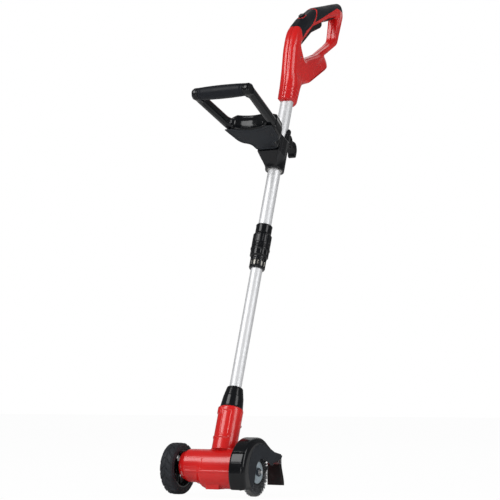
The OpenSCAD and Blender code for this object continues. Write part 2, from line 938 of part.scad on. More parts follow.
// One straight-sided tooth for each step: points of a spur gear's outline
function tooth_points(teeth, root_r, tip_r, root_part, tip_part) = [
    for (k = [0 : teeth - 1])
        let (a = 360 * k / teeth, p = 360 / teeth)
            each [
                [root_r * cos(a - p * root_part / 2), root_r * sin(a - p * root_part / 2)],
                [tip_r * cos(a - p * tip_part / 2), tip_r * sin(a - p * tip_part / 2)],
                [tip_r * cos(a + p * tip_part / 2), tip_r * sin(a + p * tip_part / 2)],
                [root_r * cos(a + p * root_part / 2), root_r * sin(a + p * root_part / 2)]
            ]
];

// Turns a flat outline into a slice along X at a height: its first axis points up
module x_slice(x_from, x_to, z) {
    translate([x_from, 0, z]) rotate([0, 90, 0]) rotate([0, 0, 180])
        linear_extrude(x_to - x_from) children();
}

module drive_pinion() {
    r = gear_module * pinion_teeth / 2;
    color([0.7, 0.71, 0.73]) tool()
        x_slice(13.5, 22, motor_z)
            difference() {
                polygon(tooth_points(pinion_teeth, r - 1.1, r + 0.75, 0.6, 0.26));
                circle(r = motor_shaft_r + 0.02);
            }
}

module drive_gear() {
    r = gear_module * gear_teeth / 2;
    color([0.7, 0.71, 0.73]) tool() {
        x_slice(12.5, 24, brush_z)
            difference() {
                circle(r = r + 3.5);
                polygon(tooth_points(gear_teeth, r - 0.75, r + 1.1, 0.74, 0.4));
            }
        x_ring(r + 3.5, spindle_r + 0.02, 24 - tiny, 27, brush_z);
    }
}

module gear_housing() {
    color([0.35, 0.36, 0.38]) tool()
        difference() {
            union() {
                x_rod(housing_r, housing_left, 30, brush_z);
                x_rod(bearing_r + 3.5, 29, head_right, brush_z);
            }
            x_rod(housing_r - 3, housing_left + 3, 29, brush_z);
            x_rod(bearing_r + 0.02, 30, head_right + 1, brush_z);
            x_rod(spindle_r + 2, 20, 31, brush_z);
            x_rod(motor_shaft_r + 4, 0, 20, motor_z);
        }
}

module spindle_bearings() {
    color([0.75, 0.76, 0.78]) tool()
        for (start = bearing_starts)
            x_ring(bearing_r, spindle_r + running_gap, start, start + bearing_w, brush_z);
}

module output_spindle() {
    color([0.7, 0.71, 0.73]) tool() {
        x_rod(spindle_r, 24, spindle_shoulder, brush_z);
        x_rod(spindle_tip_r, spindle_shoulder - tiny, spindle_end, brush_z);
        x_rod(spindle_r + 2.5, 47, guard_left + 5, brush_z);
    }
}

module inner_flange() {
    color([0.6, 0.66, 0.7]) tool() {
        x_ring(flange_r, spindle_r + 0.02, brush_left - flange_t, brush_left, brush_z);
        x_ring(12, spindle_r + 0.02, guard_left + 5 + tiny, brush_left - flange_t, brush_z);
    }
}

module brush_hub() {
    color([0.25, 0.26, 0.28]) tool()
        x_ring(16, spindle_r + 0.02, brush_left + tiny, brush_right - tiny, brush_z);
}

module wire_brush() {
    color([0.2, 0.21, 0.22]) tool()
        x_ring(brush_r, 16.02, brush_left + tiny, brush_right - tiny, brush_z);
}

module outer_flange() {
    color([0.6, 0.66, 0.7]) tool()
        x_ring(flange_r, spindle_r + 0.02, brush_right, brush_right + flange_t, brush_z);
}

module brush_nut() {
    start = brush_right + flange_t + 0.02;
    color([0.2, 0.22, 0.25]) tool()
        difference() {
            translate([start, 0, brush_z]) rotate([0, 90, 0]) cylinder(r = 8.6, h = nut_t, $fn = 6);
            x_rod(spindle_r + 0.02, start - 1, start + nut_t + 1, brush_z);
        }
}

// Side outline of the guard about the brush axis: first number forward of it,
// second number above it
function guard_arc(r) = [
    for (i = [0 : 24])
        let (a = guard_front_angle - (guard_front_angle + guard_rear_angle) * i / 24)
            [r * sin(a), r * cos(a)]
];

module guard_side() {
    polygon(concat(
        [[12, -40]],
        guard_arc(guard_r),
        [[-76, 37.5], [-tail_tip[0], tail_tip[1]], [-100, 22.5], [-60, 13], [-54, 8]]
    ));
}

// The face of the guard is open round the brush's hub, below it and behind it
module brush_window() {
    polygon(window_points);
}

module guard_slice(x_from, x_to) {
    translate([x_from, 0, brush_z])
        rotate([90, 0, 90])
            mirror([1, 0, 0])
                linear_extrude(x_to - x_from) children();
}

// The three screws that hold the guard on the head, as rods along X
module guard_screw_rods(r, x_from, x_to) {
    for (a = guard_screw_angles)
        translate([0, 0, brush_z]) rotate([a, 0, 0])
            cross_pin(r, x_from, x_to, [0, guard_screw_circle]);
}

module guard_screw_holes(x_from, x_to) {
    guard_screw_rods(screw_r + 0.1, x_from, x_to);
}

module brush_guard() {
    color([0.04, 0.04, 0.05]) tool()
        difference() {
            guard_slice(guard_left, guard_right - 2.2) guard_side();
            guard_slice(guard_left + guard_wall, guard_right + 1)
                polygon(concat(
                    [[12, -60], [65, -60]],
                    guard_arc(guard_r - guard_wall),
                    [[-75, 37.5 - guard_wall], [-102, tail_tip[1] - guard_wall], [-120, -60]]
                ));
            x_rod(bearing_r + 4.2, guard_left - 1, guard_left + guard_wall + 1, brush_z);
            guard_slice(guard_left - 1, guard_left + guard_wall + 1)
                polygon([[-62, 12], [-20, -20], [20, -60], [-120, -60], [-120, 10]]);
            guard_screw_holes(guard_left - 1, guard_left + guard_wall + 1);
        }
}

module guard_face_plate() {
    color([0.13, 0.14, 0.16]) tool()
        guard_slice(guard_right - 2.2 + tiny, guard_right)
            difference() {
                guard_side();
                brush_window();
            }
}

module guard_screws() {
    color([0.55, 0.56, 0.58]) tool() {
        guard_screw_rods(screw_r, head_right - 2.3, guard_left + guard_wall + 0.2);
        guard_screw_rods(3.2, guard_left + guard_wall + 0.05, guard_left + guard_wall + 1.8);
    }
}

module mud_flap() {
    color([0.03, 0.03, 0.03]) tool()
        translate([0, flap_y + flap_t, 0])
            rotate([90, 0, 0])
                linear_extrude(flap_t)
                    polygon([
                        [guard_left + 3, flap_bottom], [guard_right + 4, flap_bottom],
                        [guard_right - 2.3, brush_z + 14], [guard_right - 2.3, brush_z + 30.2],
                        [guard_left + 3, brush_z + 30.2]
                    ]);
}

module flap_strip() {
    color([0.5, 0.52, 0.55]) tool()
        translate([guard_left + 5, flap_y - 1.55, brush_z + 12])
            cube([guard_w - 8, 1.5, 10]);
}

module flap_rivets() {
    color([0.75, 0.76, 0.78]) tool()
        for (x = [guard_left + 11, guard_right - 9])
            translate([x, flap_y - 2.6, brush_z + 17])
                rotate([-90, 0, 0]) cylinder(r = 2.4, h = 1);
}

// ---------- wheel ----------

module wheel_axle() {
    color([0.75, 0.76, 0.78]) tool() {
        x_rod(axle_r, wheel_left + 3, -barrel_left + 20, wheel_r);
        x_rod(7, wheel_left + 2, wheel_left + 5, wheel_r);
    }
}

module axle_washer() {
    color([0.75, 0.76, 0.78]) tool()
        x_ring(8, axle_r + 0.05, -barrel_left - 1.6, -barrel_left - 0.1, wheel_r);
}

module wheel_rim() {
    color([0.06, 0.06, 0.07]) tool()
        difference() {
            union() {
                x_rod(hub_r, wheel_left + 1, wheel_right + 1.5, wheel_r);
                x_ring(rim_r, rim_r - rim_t, wheel_left + 1, wheel_right - 1, wheel_r);
                x_ring(rim_r - rim_t + 1, hub_r - 1, wheel_left + 11, wheel_left + 15, wheel_r);
            }
            for (a = [0 : 72 : 288])
                translate([wheel_left - 1, 0, wheel_r]) rotate([a, 0, 0])
                    rotate([90, 0, 90])
                        linear_extrude(wheel_w + 2)
                            polygon([[-4, hub_r + 3], [4, hub_r + 3], [11, rim_r - rim_t - 2],
                                     [-11, rim_r - rim_t - 2]]);
            x_rod(axle_r + running_gap, wheel_left - 1, wheel_right + 3, wheel_r);
            x_rod(7.5, wheel_left, wheel_left + 5.4, wheel_r);
        }
}

module tyre() {
    color([0.09, 0.1, 0.12]) tool()
        difference() {
            translate([wheel_left, 0, wheel_r])
                rotate([0, 90, 0])
                    rotate_extrude()
                        polygon([[rim_r + 0.02, 0.5], [wheel_r - 3, 0], [wheel_r - 0.6, 4],
                                 [wheel_r, 9], [wheel_r, wheel_w - 9], [wheel_r - 0.6, wheel_w - 4],
                                 [wheel_r - 3, wheel_w], [rim_r + 0.02, wheel_w - 0.5]]);
            for (k = [0 : tread_count - 1], row = [0, 1])
                translate([0, 0, wheel_r])
                    rotate([360 * (k + row / 2) / tread_count, 0, 0])
                        translate([wheel_left + (row == 0 ? -1 : wheel_w - 8), -1.5, wheel_r - 2])
                            cube([9, 3, 5]);
        }
}

module wheel_cap() {
    color([0.05, 0.05, 0.06]) tool()
        x_rod(hub_r - 1, wheel_left - 1, wheel_left + 1 - tiny, wheel_r);
}

handle_shell_left();
handle_shell_right();
handle_screws();
grip_pad_front();
grip_pad_rear();
trigger();
trigger_pin();
trigger_spring();
trigger_switch();
lock_off_button();
terminal_block();
contact_blades();
upper_tube();
tube_bolt();
coiled_lead();
clamp_body();
clamp_collet();
clamp_nut();
front_handle_frame();
front_grip_sleeve();
web_cover();
web_screws();
bracket_collar();
bracket_bushes();
collar_screws();
lever_pin();
pressure_pad();
clamp_lever();
lower_tube();
lower_lead();
cone_collar();
neck_bolt();
head_shell_front();
head_shell_rear();
head_screws();
motor_can();
motor_magnets();
motor_armature();
motor_shaft();
drive_pinion();
gear_housing();
drive_gear();
spindle_bearings();
output_spindle();
inner_flange();
brush_hub();
wire_brush();
outer_flange();
brush_nut();
brush_guard();
guard_face_plate();
guard_screws();
mud_flap();
flap_strip();
flap_rivets();
wheel_axle();
axle_washer();
wheel_rim();
tyre();
wheel_cap();
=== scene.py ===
import json
import math

import bpy
import numpy as np
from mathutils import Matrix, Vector


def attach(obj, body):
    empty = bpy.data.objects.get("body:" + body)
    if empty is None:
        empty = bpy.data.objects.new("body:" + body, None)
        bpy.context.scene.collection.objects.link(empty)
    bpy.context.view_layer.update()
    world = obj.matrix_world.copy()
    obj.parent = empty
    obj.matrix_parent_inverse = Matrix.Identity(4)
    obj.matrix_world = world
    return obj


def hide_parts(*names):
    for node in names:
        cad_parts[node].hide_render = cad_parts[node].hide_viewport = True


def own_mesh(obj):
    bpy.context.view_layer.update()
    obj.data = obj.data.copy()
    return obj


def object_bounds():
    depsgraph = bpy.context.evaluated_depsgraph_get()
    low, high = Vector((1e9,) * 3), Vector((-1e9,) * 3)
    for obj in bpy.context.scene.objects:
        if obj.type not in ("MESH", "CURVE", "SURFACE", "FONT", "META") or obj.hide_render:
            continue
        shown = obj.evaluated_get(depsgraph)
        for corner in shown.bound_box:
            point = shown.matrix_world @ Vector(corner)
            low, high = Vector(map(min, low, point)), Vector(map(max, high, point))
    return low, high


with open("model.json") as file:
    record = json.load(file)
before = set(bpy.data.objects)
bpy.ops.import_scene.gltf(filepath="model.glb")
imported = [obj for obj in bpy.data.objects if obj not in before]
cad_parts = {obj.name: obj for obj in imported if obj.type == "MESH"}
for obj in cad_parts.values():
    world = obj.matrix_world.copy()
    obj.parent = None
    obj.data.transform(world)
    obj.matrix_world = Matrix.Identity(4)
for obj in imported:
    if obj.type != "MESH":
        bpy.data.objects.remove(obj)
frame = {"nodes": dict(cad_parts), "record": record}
cad_low, cad_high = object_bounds()

# ---------------------------------------------------------------- studio
# A pale floor that reads white behind the tool and keeps its shadow, with a
# broad lamp over the left shoulder, a softer one on the right, a low one in
# front that lights the underside of the handles and a wide dim one behind.


class Wire:
    """A shader value. Plain arithmetic on it adds the Math nodes."""

    def __init__(self, tree, socket=None):
        self.tree, self.socket = tree, socket

    def node(self, kind, settings, inputs, out=0):
        made = self.tree.nodes.new("ShaderNode" + kind)
        for key, value in settings.items():
            if key == "stops":
                ramp = made.color_ramp.elements
                while len(ramp) < len(value):
                    ramp.new(0.5)
                for element, (place, shade) in zip(ramp, value):
                    element.position = place
                    element.color = shade if len(shade) == 4 else (*shade, 1)
            else:
                setattr(made, key, value)
        for key, value in inputs.items():
            if isinstance(value, Wire):
                self.tree.links.new(value.socket, made.inputs[key])
            else:
                made.inputs[key].default_value = value
        return Wire(self.tree, made.outputs[out])

    def math(self, operation, a, b=0.0):
        return self.node("Math", {"operation": operation}, {0: a, 1: b})

    def __add__(self, other):
        return self.math("ADD", self, other)

    def __radd__(self, other):
        return self.math("ADD", other, self)

    def __sub__(self, other):
        return self.math("SUBTRACT", self, other)

    def __rsub__(self, other):
        return self.math("SUBTRACT", other, self)

    def __mul__(self, other):
        return self.math("MULTIPLY", self, other)

    def __rmul__(self, other):
        return self.math("MULTIPLY", other, self)

    def between(self, low, high):
        """0 below low and 1 above high, with a smooth step from one to the other."""
        return self.node("MapRange", {"interpolation_type": "SMOOTHSTEP"},
                         {"Value": self, "From Min": low, "From Max": high})

    def at(self, stretch=(1, 1, 1)):
        """Where the surface is on the piece, in metres, stretched along each axis."""
        place = self.node("TexCoord", {}, {}, 3)
        return self.node("VectorMath", {"operation": "MULTIPLY"}, {0: place, 1: stretch})

    def grain(self, scale, detail=2.0, rough=0.5, stretch=(1, 1, 1)):
        return self.node("TexNoise", {}, {"Vector": self.at(stretch), "Scale": scale,
                                          "Detail": detail, "Roughness": rough})

    def blend(self, mask, a, b):
        """Colour a where the mask is 0 and b where it is 1."""
        return self.node("Mix", {"data_type": "RGBA"}, {0: mask, 6: a, 7: b}, 2)

    def bump(self, height, distance, strength=1.0, under=None):
        inputs = {"Height": height, "Distance": distance, "Strength": strength}
        if under:
            inputs["Normal"] = under
        return self.node("Bump", {}, inputs)

    def wear(self):
        """1 on the proud edges of the piece, 0 elsewhere."""
        return self.node("NewGeometry", {}, {}, 7).between(0.51, 0.62)


def tinted(shade, part):
    return tuple(part * c for c in shade[:3]) + (1,)


def new_finish(name, **constants):
    """A material, its first Wire, and a function that feeds its shader's sockets."""
    material = bpy.data.materials.new(name)
    material.use_nodes = True
    shader = material.node_tree.nodes["Principled BSDF"]

    def feed(**values):
        for key, value in values.items():
            socket = shader.inputs[key.replace("_", " ")]
            if isinstance(value, Wire):
                material.node_tree.links.new(value.socket, socket)
            else:
                socket.default_value = value

    feed(**constants)
    return material, Wire(material.node_tree), feed


WHITE_PART = 0.97


def white_ground(name, shade):
    """Seen straight it is white, in a glossy reflection only partly so; on the object it is only a pale
    floor.
    """
    material, w, feed = new_finish(name, Roughness=0.9)
    speck = w.grain(60.0, 3.0)
    feed(Base_Color=w.blend(speck, (shade, shade, shade, 1), (shade + 0.03,) * 3 + (1,)))
    tree = material.node_tree
    seen = w.node("LightPath", {}, {}, 0)
    mirrored = w.node("LightPath", {}, {}, 3)
    through = w.node("LightPath", {}, {}, 6)
    body = tree.nodes["Principled BSDF"]
    glow = w.node("Emission", {}, {"Color": (1, 1, 1, 1), "Strength": 1.0})
    facing = seen + 0.2 * mirrored + through
    mix = w.node("MixShader", {}, {0: facing.between(0, 1) * WHITE_PART,
                                   1: Wire(tree, body.outputs[0]), 2: glow})
    tree.links.new(mix.socket, tree.nodes["Material Output"].inputs["Surface"])
    return material


FLOOR_HALF = 9
floor_z = cad_low[2] - 0.0004
floor_mesh = bpy.data.meshes.new("floor")
floor_mesh.from_pydata([(x * FLOOR_HALF, y * FLOOR_HALF, floor_z)
                        for x, y in ((-1, -1), (1, -1), (1, 1), (-1, 1))], [], [(0, 1, 2, 3)])
floor = bpy.data.objects.new("floor", floor_mesh)
bpy.context.collection.objects.link(floor)
floor_mesh.materials.append(white_ground("studio floor", 0.8))

world = bpy.data.worlds.new("studio")
bpy.context.scene.world = world
world.use_nodes = True
sky = Wire(world.node_tree)
sky_white = sky.node("LightPath", {}, {}, 0)
sky_mirrored = sky.node("LightPath", {}, {}, 3)
sky_level = 0.34 + sky_white * 0.66 - sky_mirrored * 0.18
world.node_tree.links.new(sky_level.socket, world.node_tree.nodes["Background"].inputs["Strength"])
world.node_tree.nodes["Background"].inputs["Color"].default_value = (1, 1, 1, 1)


def lamp(name, place, target, size, watts):
    light = bpy.data.lights.new(name, "AREA")
    light.shape, light.energy = "RECTANGLE", watts
    light.size, light.size_y = size
    holder = bpy.data.objects.new(name, light)
    bpy.context.collection.objects.link(holder)
    holder.location = place
    holder.rotation_mode = "QUATERNION"
    holder.rotation_quaternion = (Vector(target) - Vector(place)).to_track_quat("-Z", "Y")


lamp("lamp_left", (-1.2, -2.4, 1.3), (0, -0.2, -0.4), (1.5, 1.8), 58)
lamp("lamp_right", (2.6, -0.6, 0.5), (0, -0.2, -0.5), (1.0, 2.2), 34)
lamp("lamp_low", (0.6, -2.6, -0.7), (0, -0.3, -0.5), (1.4, 0.5), 8)
lamp("lamp_back", (-0.6, 2.2, 1.2), (0, 0, -0.3), (2.6, 2.0), 12)

camera_data = bpy.data.cameras.new("camera")
camera = bpy.data.objects.new("camera", camera_data)
bpy.context.collection.objects.link(camera)
camera_data.lens, camera_data.sensor_width = 114.87, 36.0
camera_data.clip_end = 50.0
AIM, AWAY = Vector((0.06376, -0.455515, -0.585215)), 3.2
turn, lift = math.radians(28.22), math.radians(-5.08)
camera_back = Vector((math.sin(turn) * math.cos(lift), -math.cos(turn) * math.cos(lift),
                      math.sin(lift)))
camera.location = AIM + camera_back * AWAY
camera.rotation_mode = "QUATERNION"
camera.rotation_quaternion = (-camera_back).to_track_quat("-Z", "Y")
bpy.context.scene.camera = camera
bpy.context.scene.view_settings.view_transform = "Standard"

# ---------------------------------------------------------------- rear handle
# Two glossy red mouldings screwed together along the middle, shaped as one
# closed loop: a rounded grip, a thin rear bar and a sloping battery foot. The
# mouth that grips the tube has three ring grooves.

LEAN = math.radians(20.6)
BEHIND = np.array([0.0, math.cos(LEAN), -math.sin(LEAN)])
ALONG = np.array([0.0, math.sin(LEAN), math.cos(LEAN)])
MOUTH = -(72 * BEHIND + 283 * ALONG)
MOUTH_AT = 786


def pole_frame(start):
    """Turns (x, behind the pole, along it from a station) in mm into metres of the row frame."""
    origin = MOUTH + (start - MOUTH_AT) * ALONG

    def place(p):
        return (origin + p[:, :1] * [1, 0, 0] + p[:, 1:2] * BEHIND + p[:, 2:3] * ALONG) / 1000

    return place


in_handle = pole_frame(MOUTH_AT)


def smooth(value, low, high):
    t = np.clip((value - low) / (high - low), 0, 1)
    return t * t * (3 - 2 * t)


def band(value, middle, half, soft=0.6):
    """1 within half of the middle, falling to 0 over soft."""
    return 1 - smooth(np.abs(value - middle), half, half + soft)


def rounded(points, radius, steps=6):
    """A closed outline with each corner turned into a small curve."""
    points = [np.array(p, float) for p in points]
    made = []
    for i, p in enumerate(points):
        a, b = points[i - 1] - p, points[(i + 1) % len(points)] - p
        la, lb = np.linalg.norm(a), np.linalg.norm(b)
        r = min(radius, 0.45 * la, 0.45 * lb)
        start, end = p + a / la * r, p + b / lb * r
        for k in range(steps + 1):
            t = k / steps
            made.append((1 - t) ** 2 * start + 2 * t * (1 - t) * p + t * t * end)
    return np.array(made)


def outline(points, u, v):
    """Distance to a closed outline, negative inside, for arrays of places in its plane."""
    shape = np.broadcast(u, v).shape
    u, v = np.broadcast_to(u, shape), np.broadcast_to(v, shape)
    near = np.full(shape, 1e9)
    inside = np.zeros(shape, bool)
    for (ax, ay), (bx, by) in zip(points, np.roll(points, -1, 0)):
        ex, ey = bx - ax, by - ay
        wx, wy = u - ax, v - ay
        t = np.clip((wx * ex + wy * ey) / max(ex * ex + ey * ey, 1e-12), 0, 1)
        near = np.minimum(near, (wx - ex * t) ** 2 + (wy - ey * t) ** 2)
        if ay != by:
            crosses = ((ay > v) != (by > v)) & (u < ex * (v - ay) / ey + ax)
            inside ^= crosses
    return np.where(inside, -1, 1) * np.sqrt(near)


def pillow(flat, height, half, round_flat, round_height):
    """A flat outline given a thickness of twice half, with its edges rounded like a pillow's."""
    a = (flat + round_flat) / round_flat
    b = (np.abs(height) - (half - round_height)) / round_height
    corner = np.sqrt(np.maximum(a, 0) ** 2 + np.maximum(b, 0) ** 2)
    return (corner + np.minimum(np.maximum(a, b), 0) - 1) * np.minimum(round_flat, round_height)


def meet(first, *others):
    """What all of the bodies share."""
    for other in others:
        first = np.maximum(first, other)
    return first


def join(first, *others):
    """The bodies taken together."""
    for other in others:
        first = np.minimum(first, other)
    return first


def cut(body, *hole):
    """The body without what all sides of the hole enclose."""
    return np.maximum(body, -meet(*hole))


def melt(a, b, k):
    """The union of two bodies with a fillet of about k where they meet."""
    h = np.clip(0.5 + 0.5 * (b - a) / k, 0, 1)
    return b + (a - b) * h - k * h * (1 - h)


def skin(field, low, high, step):
    """Points, faces and slopes of the surface where the field is 0, pulled exactly onto it."""
    axes = [np.arange(l, h + step, step) for l, h in zip(low, high)]
    count = [len(a) for a in axes]
    opened = np.ix_(*axes)
    value = np.broadcast_to(field(*opened), count).astype(np.float32)
    value = np.where(value == 0, 1e-6, value)
    cells = tuple(c - 1 for c in count)
    total, crossings = np.zeros(cells + (3,), np.float32), np.zeros(cells, np.float32)
    flips = []
    for axis in range(3):
        u, v = [k for k in range(3) if k != axis]
        a = np.take(value, range(count[axis] - 1), axis)
        b = np.take(value, range(1, count[axis]), axis)
        cross = (a < 0) != (b < 0)
        flips.append((cross, a < 0))
        part = np.where(cross, a / (a - b + (a == b)), 0)
        for du in (0, 1):
            for dv in (0, 1):
                cut = [slice(None)] * 3
                cut[u], cut[v] = slice(du, du + cells[u]), slice(dv, dv + cells[v])
                hit, t = cross[tuple(cut)], part[tuple(cut)]
                total[..., axis] += t
                total[..., u] += hit * du
                total[..., v] += hit * dv
                crossings += hit
    used = crossings > 0
    number = np.full(cells, -1, np.int64)
    number[used] = np.arange(used.sum())
    base = np.argwhere(used)
    spot = (base + total[used] / crossings[used][:, None]) * step + np.array([a[0] for a in axes])
    faces = []
    for axis, (cross, starts_inside) in enumerate(flips):
        u, v = [k for k in range(3) if k != axis]
        cut = [slice(None)] * 3
        cut[u], cut[v] = slice(1, count[u] - 1), slice(1, count[v] - 1)
        where = np.argwhere(cross[tuple(cut)])
        inward = starts_inside[tuple(cut)][tuple(where.T)]
        corner = []
        for du, dv in ((0, 0), (1, 0), (1, 1), (0, 1)):
            cell = where.copy()
            cell[:, u] += du
            cell[:, v] += dv
            corner.append(number[tuple(cell.T)])
        quads = np.stack(corner, 1)
        if axis == 1:
            inward = ~inward
        quads[~inward] = quads[~inward][:, ::-1]
        faces.append(quads)
    faces = np.concatenate(faces)

    def slope_at(places, reach):
        return np.stack([(field(*(places + d).T) - field(*(places - d).T)) / (2 * reach)
                         for d in np.eye(3) * reach], 1)

    for _ in range(3):
        slope = slope_at(spot, step * 0.35)
        size = np.maximum((slope ** 2).sum(1), 0.04)
        move = slope * (field(*spot.T) / size)[:, None]
        length = np.linalg.norm(move, axis=1)[:, None]
        spot = spot - move * np.minimum(1, 0.5 * step / np.maximum(length, 1e-9))
    return spot, faces, slope_at(spot, step * 0.5)


def piece(name, points, faces, body, finish, nodes=(), normals=None):
    """A mesh in the row frame that rides on a body and may stand for CAD nodes."""
    mesh = bpy.data.meshes.new(name)
    mesh.from_pydata(np.asarray(points).tolist(), [], np.asarray(faces).tolist()
                     if isinstance(faces, np.ndarray) else faces)
    mesh.validate()
    mesh.update()
    mesh.shade_smooth()
    if normals is not None:
        mesh.normals_split_custom_set_from_vertices(normals.tolist())
    mesh.materials.append(finish)
    made = bpy.data.objects.new(name, mesh)
    bpy.context.collection.objects.link(made)
    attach(made, body)
    if nodes:
        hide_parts(*nodes)
    return made


def grown(name, field, low, high, step, place, body, finish, slot=None, nodes=()):
    spot, faces, slope = skin(field, low, high, step * (1))
    away = slope / np.maximum(np.linalg.norm(slope, axis=1), 1e-9)[:, None]
    normals = 1000 * (place(spot + away) - place(spot))
    return piece(name, place(spot), faces, body, finish, nodes, normals)


def plastic(name, shade, dark, bright, gloss, mirror=0.4, ripple=0.00002):
    """Moulded plastic: faint flow tone, fine scratches and rubbed edges."""
    material, w, feed = new_finish(name, IOR=1.5, Specular_IOR_Level=mirror)
    flow = w.grain(9.0, 3.0).between(0.3, 0.7)
    fine = w.grain(2600.0, 2.0)
    scratches = w.grain(70.0, 3.0, 0.6, (1.0, 1.0, 9.0)).between(0.62, 0.76)
    tone = w.blend(flow, dark, shade)
    tone = w.blend(w.wear() * 0.35, tone, bright)
    feed(Base_Color=tone,
         Roughness=gloss + 0.05 * flow + 0.08 * scratches + 0.03 * fine,
         Coat_Weight=0.4 * mirror,
         Normal=w.bump(w.grain(90.0, 1.0), ripple, 0.3, w.bump(fine, 0.000004, 0.3)))
    return material


red_plastic = plastic("red shell plastic", (0.62, 0.012, 0.010, 1), (0.53, 0.007, 0.008, 1),
                      (0.75, 0.06, 0.05, 1), 0.2)

HANDLE = rounded([
    (-21, 2), (-23, 46), (-37, 122), (-38, 150), (-36, 172), (-27, 191), (-8, 222), (38, 278), (89, 316),
    (139, 354), (156, 348), (167, 334), (161, 253), (108, 190), (118, 186), (127, 179),
    (121, 162), (57, 89), (32, 67), (26, 52), (21, 2)], 9)
LOOP = rounded([
    (-6, 150), (3, 167), (36, 224), (105, 289), (140, 316), (147, 256), (131, 234), (85, 182),
    (20, 128)], 8)
FOOT = np.array([64, 73]) / math.hypot(64, 73)


def along_foot(b, a):
    """Distance along the battery foot from its front end, and above its face."""
    return (b - 57) * FOOT[0] + (a - 89) * FOOT[1], (a - 89) * FOOT[0] - (b - 57) * FOOT[1]


def handle_body(x, b, a):
    flat = cut(outline(HANDLE, b, a), outline(LOOP, b, a))
    run, above = along_foot(b, a)
    at_foot = band(run, 48, 50, 20) * (1 - smooth(above, 12, 30))
    rear_bar = smooth(b - 0.35 * a, 18, 52) * (1 - at_foot)
    at_mouth = 1 - smooth(a, 46, 82)
    half = 17.8 - 5.4 * rear_bar + 3.2 * at_mouth
    edge = 15 - 11 * at_foot - 12 * rear_bar + 5 * at_mouth
    side = 13 - 9.5 * at_foot - 10 * rear_bar + 7 * at_mouth
    return pillow(flat, x, half, edge, side)


PAD_FRONT = np.array([(-60, 188), (-27, 186), (-11, 163), (0, 190), (22, 219), (30, 245), (33, 268),
                      (25, 300), (-60, 300)], float)
PAD_REAR = np.array([(24, 300), (36, 268), (33, 245), (31, 231), (61, 262), (96, 300), (122, 328),
                     (152, 336), (185, 342), (160, 400), (60, 400)], float)
HANDLE_SCREWS = [(-5, 118), (-24, 166), (134, 322), (153.5, 285), (97, 166), (30, 84)]
SIDE_SCREW = (-3, 119)
TRIGGER_SLOT = np.array([(-4, 159), (7, 150), (45, 205), (92, 250), (88, 274), (50, 268), (-14, 184)],
                        float)
TILT = math.atan2(57, 43)
BUTTON = (-3, 229)


def trigger_opening(x, b, a):
    return meet(outline(TRIGGER_SLOT, b, a), np.abs(x) - 8.1)


def on_button(b, a):
    """Distance along the top of the grip from the lock-off button's middle, and above it."""
    return ((b - BUTTON[0]) * math.cos(TILT) + (a - BUTTON[1]) * math.sin(TILT),
            (a - BUTTON[1]) * math.cos(TILT) - (b - BUTTON[0]) * math.sin(TILT))


def button_edge(x, b, a):
    """Distance outside the raised rim of the lock-off button's pocket, on top of the grip only."""
    run, rise = on_button(b, a)
    return meet(np.abs(run) - 10.6, np.abs(x) - 7.6, -rise - 8)


def handle_shell(x, b, a):
    f = handle_body(x, b, a)
    run, above = along_foot(b, a)
    for middle in (15, 26, 37):
        f = f + 0.5 * band(a, middle, 0.5, 1.4)
    pads = cut(join(outline(PAD_FRONT, b, a), outline(PAD_REAR, b, a)), button_edge(x, b, a))
    f = f + 1.7 * (1 - smooth(pads, -0.6, 0.6))
    f = f + 0.6 * band(x, 0, 0.15, 1.5)
    for sb, sa in HANDLE_SCREWS:
        f = cut(f, np.hypot(b - sb, a - sa) - 3.6, x + 14.0)
    f = cut(f, np.hypot(b - SIDE_SCREW[0], a - SIDE_SCREW[1]) - 3.5, 16.0 - x)
    f = f + 1.5 * band(run, 50, 22, 1.6) * band(above, 13, 7, 1.6) * smooth(np.abs(x), 9, 12)
    f = f + 2.2 * band(above, 3.0, 1.0, 1.6) * band(run, 48, 46, 1.6) * smooth(np.abs(x), 10.5, 13)
    flute = band(x, 9, 1.5, 4.0) * smooth(a, 44, 60) * (1 - smooth(a, 128, 150)) * (1 - smooth(b, 4, 16))
    f = f - 0.6 * flute
    f = cut(f, trigger_opening(x, b, a))
    along_top, rise = on_button(b, a)
    f = cut(f, np.abs(along_top) - 8.2, cut(np.abs(x) - 5.8, f + 6.0))
    f = cut(f, np.abs(along_top) - 10.3, np.abs(x) - 7.8, np.abs(rise + 7.5) - 3.5)
    return cut(f, np.hypot(x, b) - 14.15, a - 95)


for name, side, left, right in (("left", 1, -25, 2), ("right", -1, -2, 25)):
    grown("handle_" + name, lambda x, b, a: meet(handle_shell(x, b, a), 0.02 + side * x),
          (left, -42, -2), (right, 172, 370), 0.8, in_handle, "handle", red_plastic, "red_shell",
          ["handle_shell_" + name])

# ---------------------------------------------------------------- grip pads
# Soft black overmoulded pads, one on the front of the grip and one along its
# top, with a red line between them. Their skin has a fine leather-like grain.


def soft_rubber(name, shade, pale):
    material, w, feed = new_finish(name, IOR=1.48, Specular_IOR_Level=0.16)
    cells = w.node("TexVoronoi", {"feature": "F1"}, {"Vector": w.at(), "Scale": 1300.0})
    cloud = w.grain(30.0, 4.0).between(0.35, 0.7)
    dust = w.grain(160.0, 5.0, 0.7).between(0.62, 0.75)
    tone = w.blend(cloud, shade, tinted(shade, 1.5))
    tone = w.blend(w.wear() * 0.5 + dust * 0.06, tone, pale)
    feed(Base_Color=tone, Roughness=0.42 + 0.12 * cloud + 0.1 * dust,
         Normal=w.bump(cells, 0.00009, 0.7, w.bump(w.grain(900.0), 0.00004, 0.6)))
    return material


grip_rubber = soft_rubber("soft grip", (0.007, 0.008, 0.011, 1), (0.08, 0.085, 0.095, 1))


def grip_pad(border):
    def field(x, b, a):
        f = handle_body(x, b, a)
        edge = meet(outline(border, b, a) + 0.45, -button_edge(x, b, a) + 0.4)
        pad = meet(f + 0.1, edge, -(f + 1.9))
        return cut(pad, trigger_opening(x, b, a))
    return field


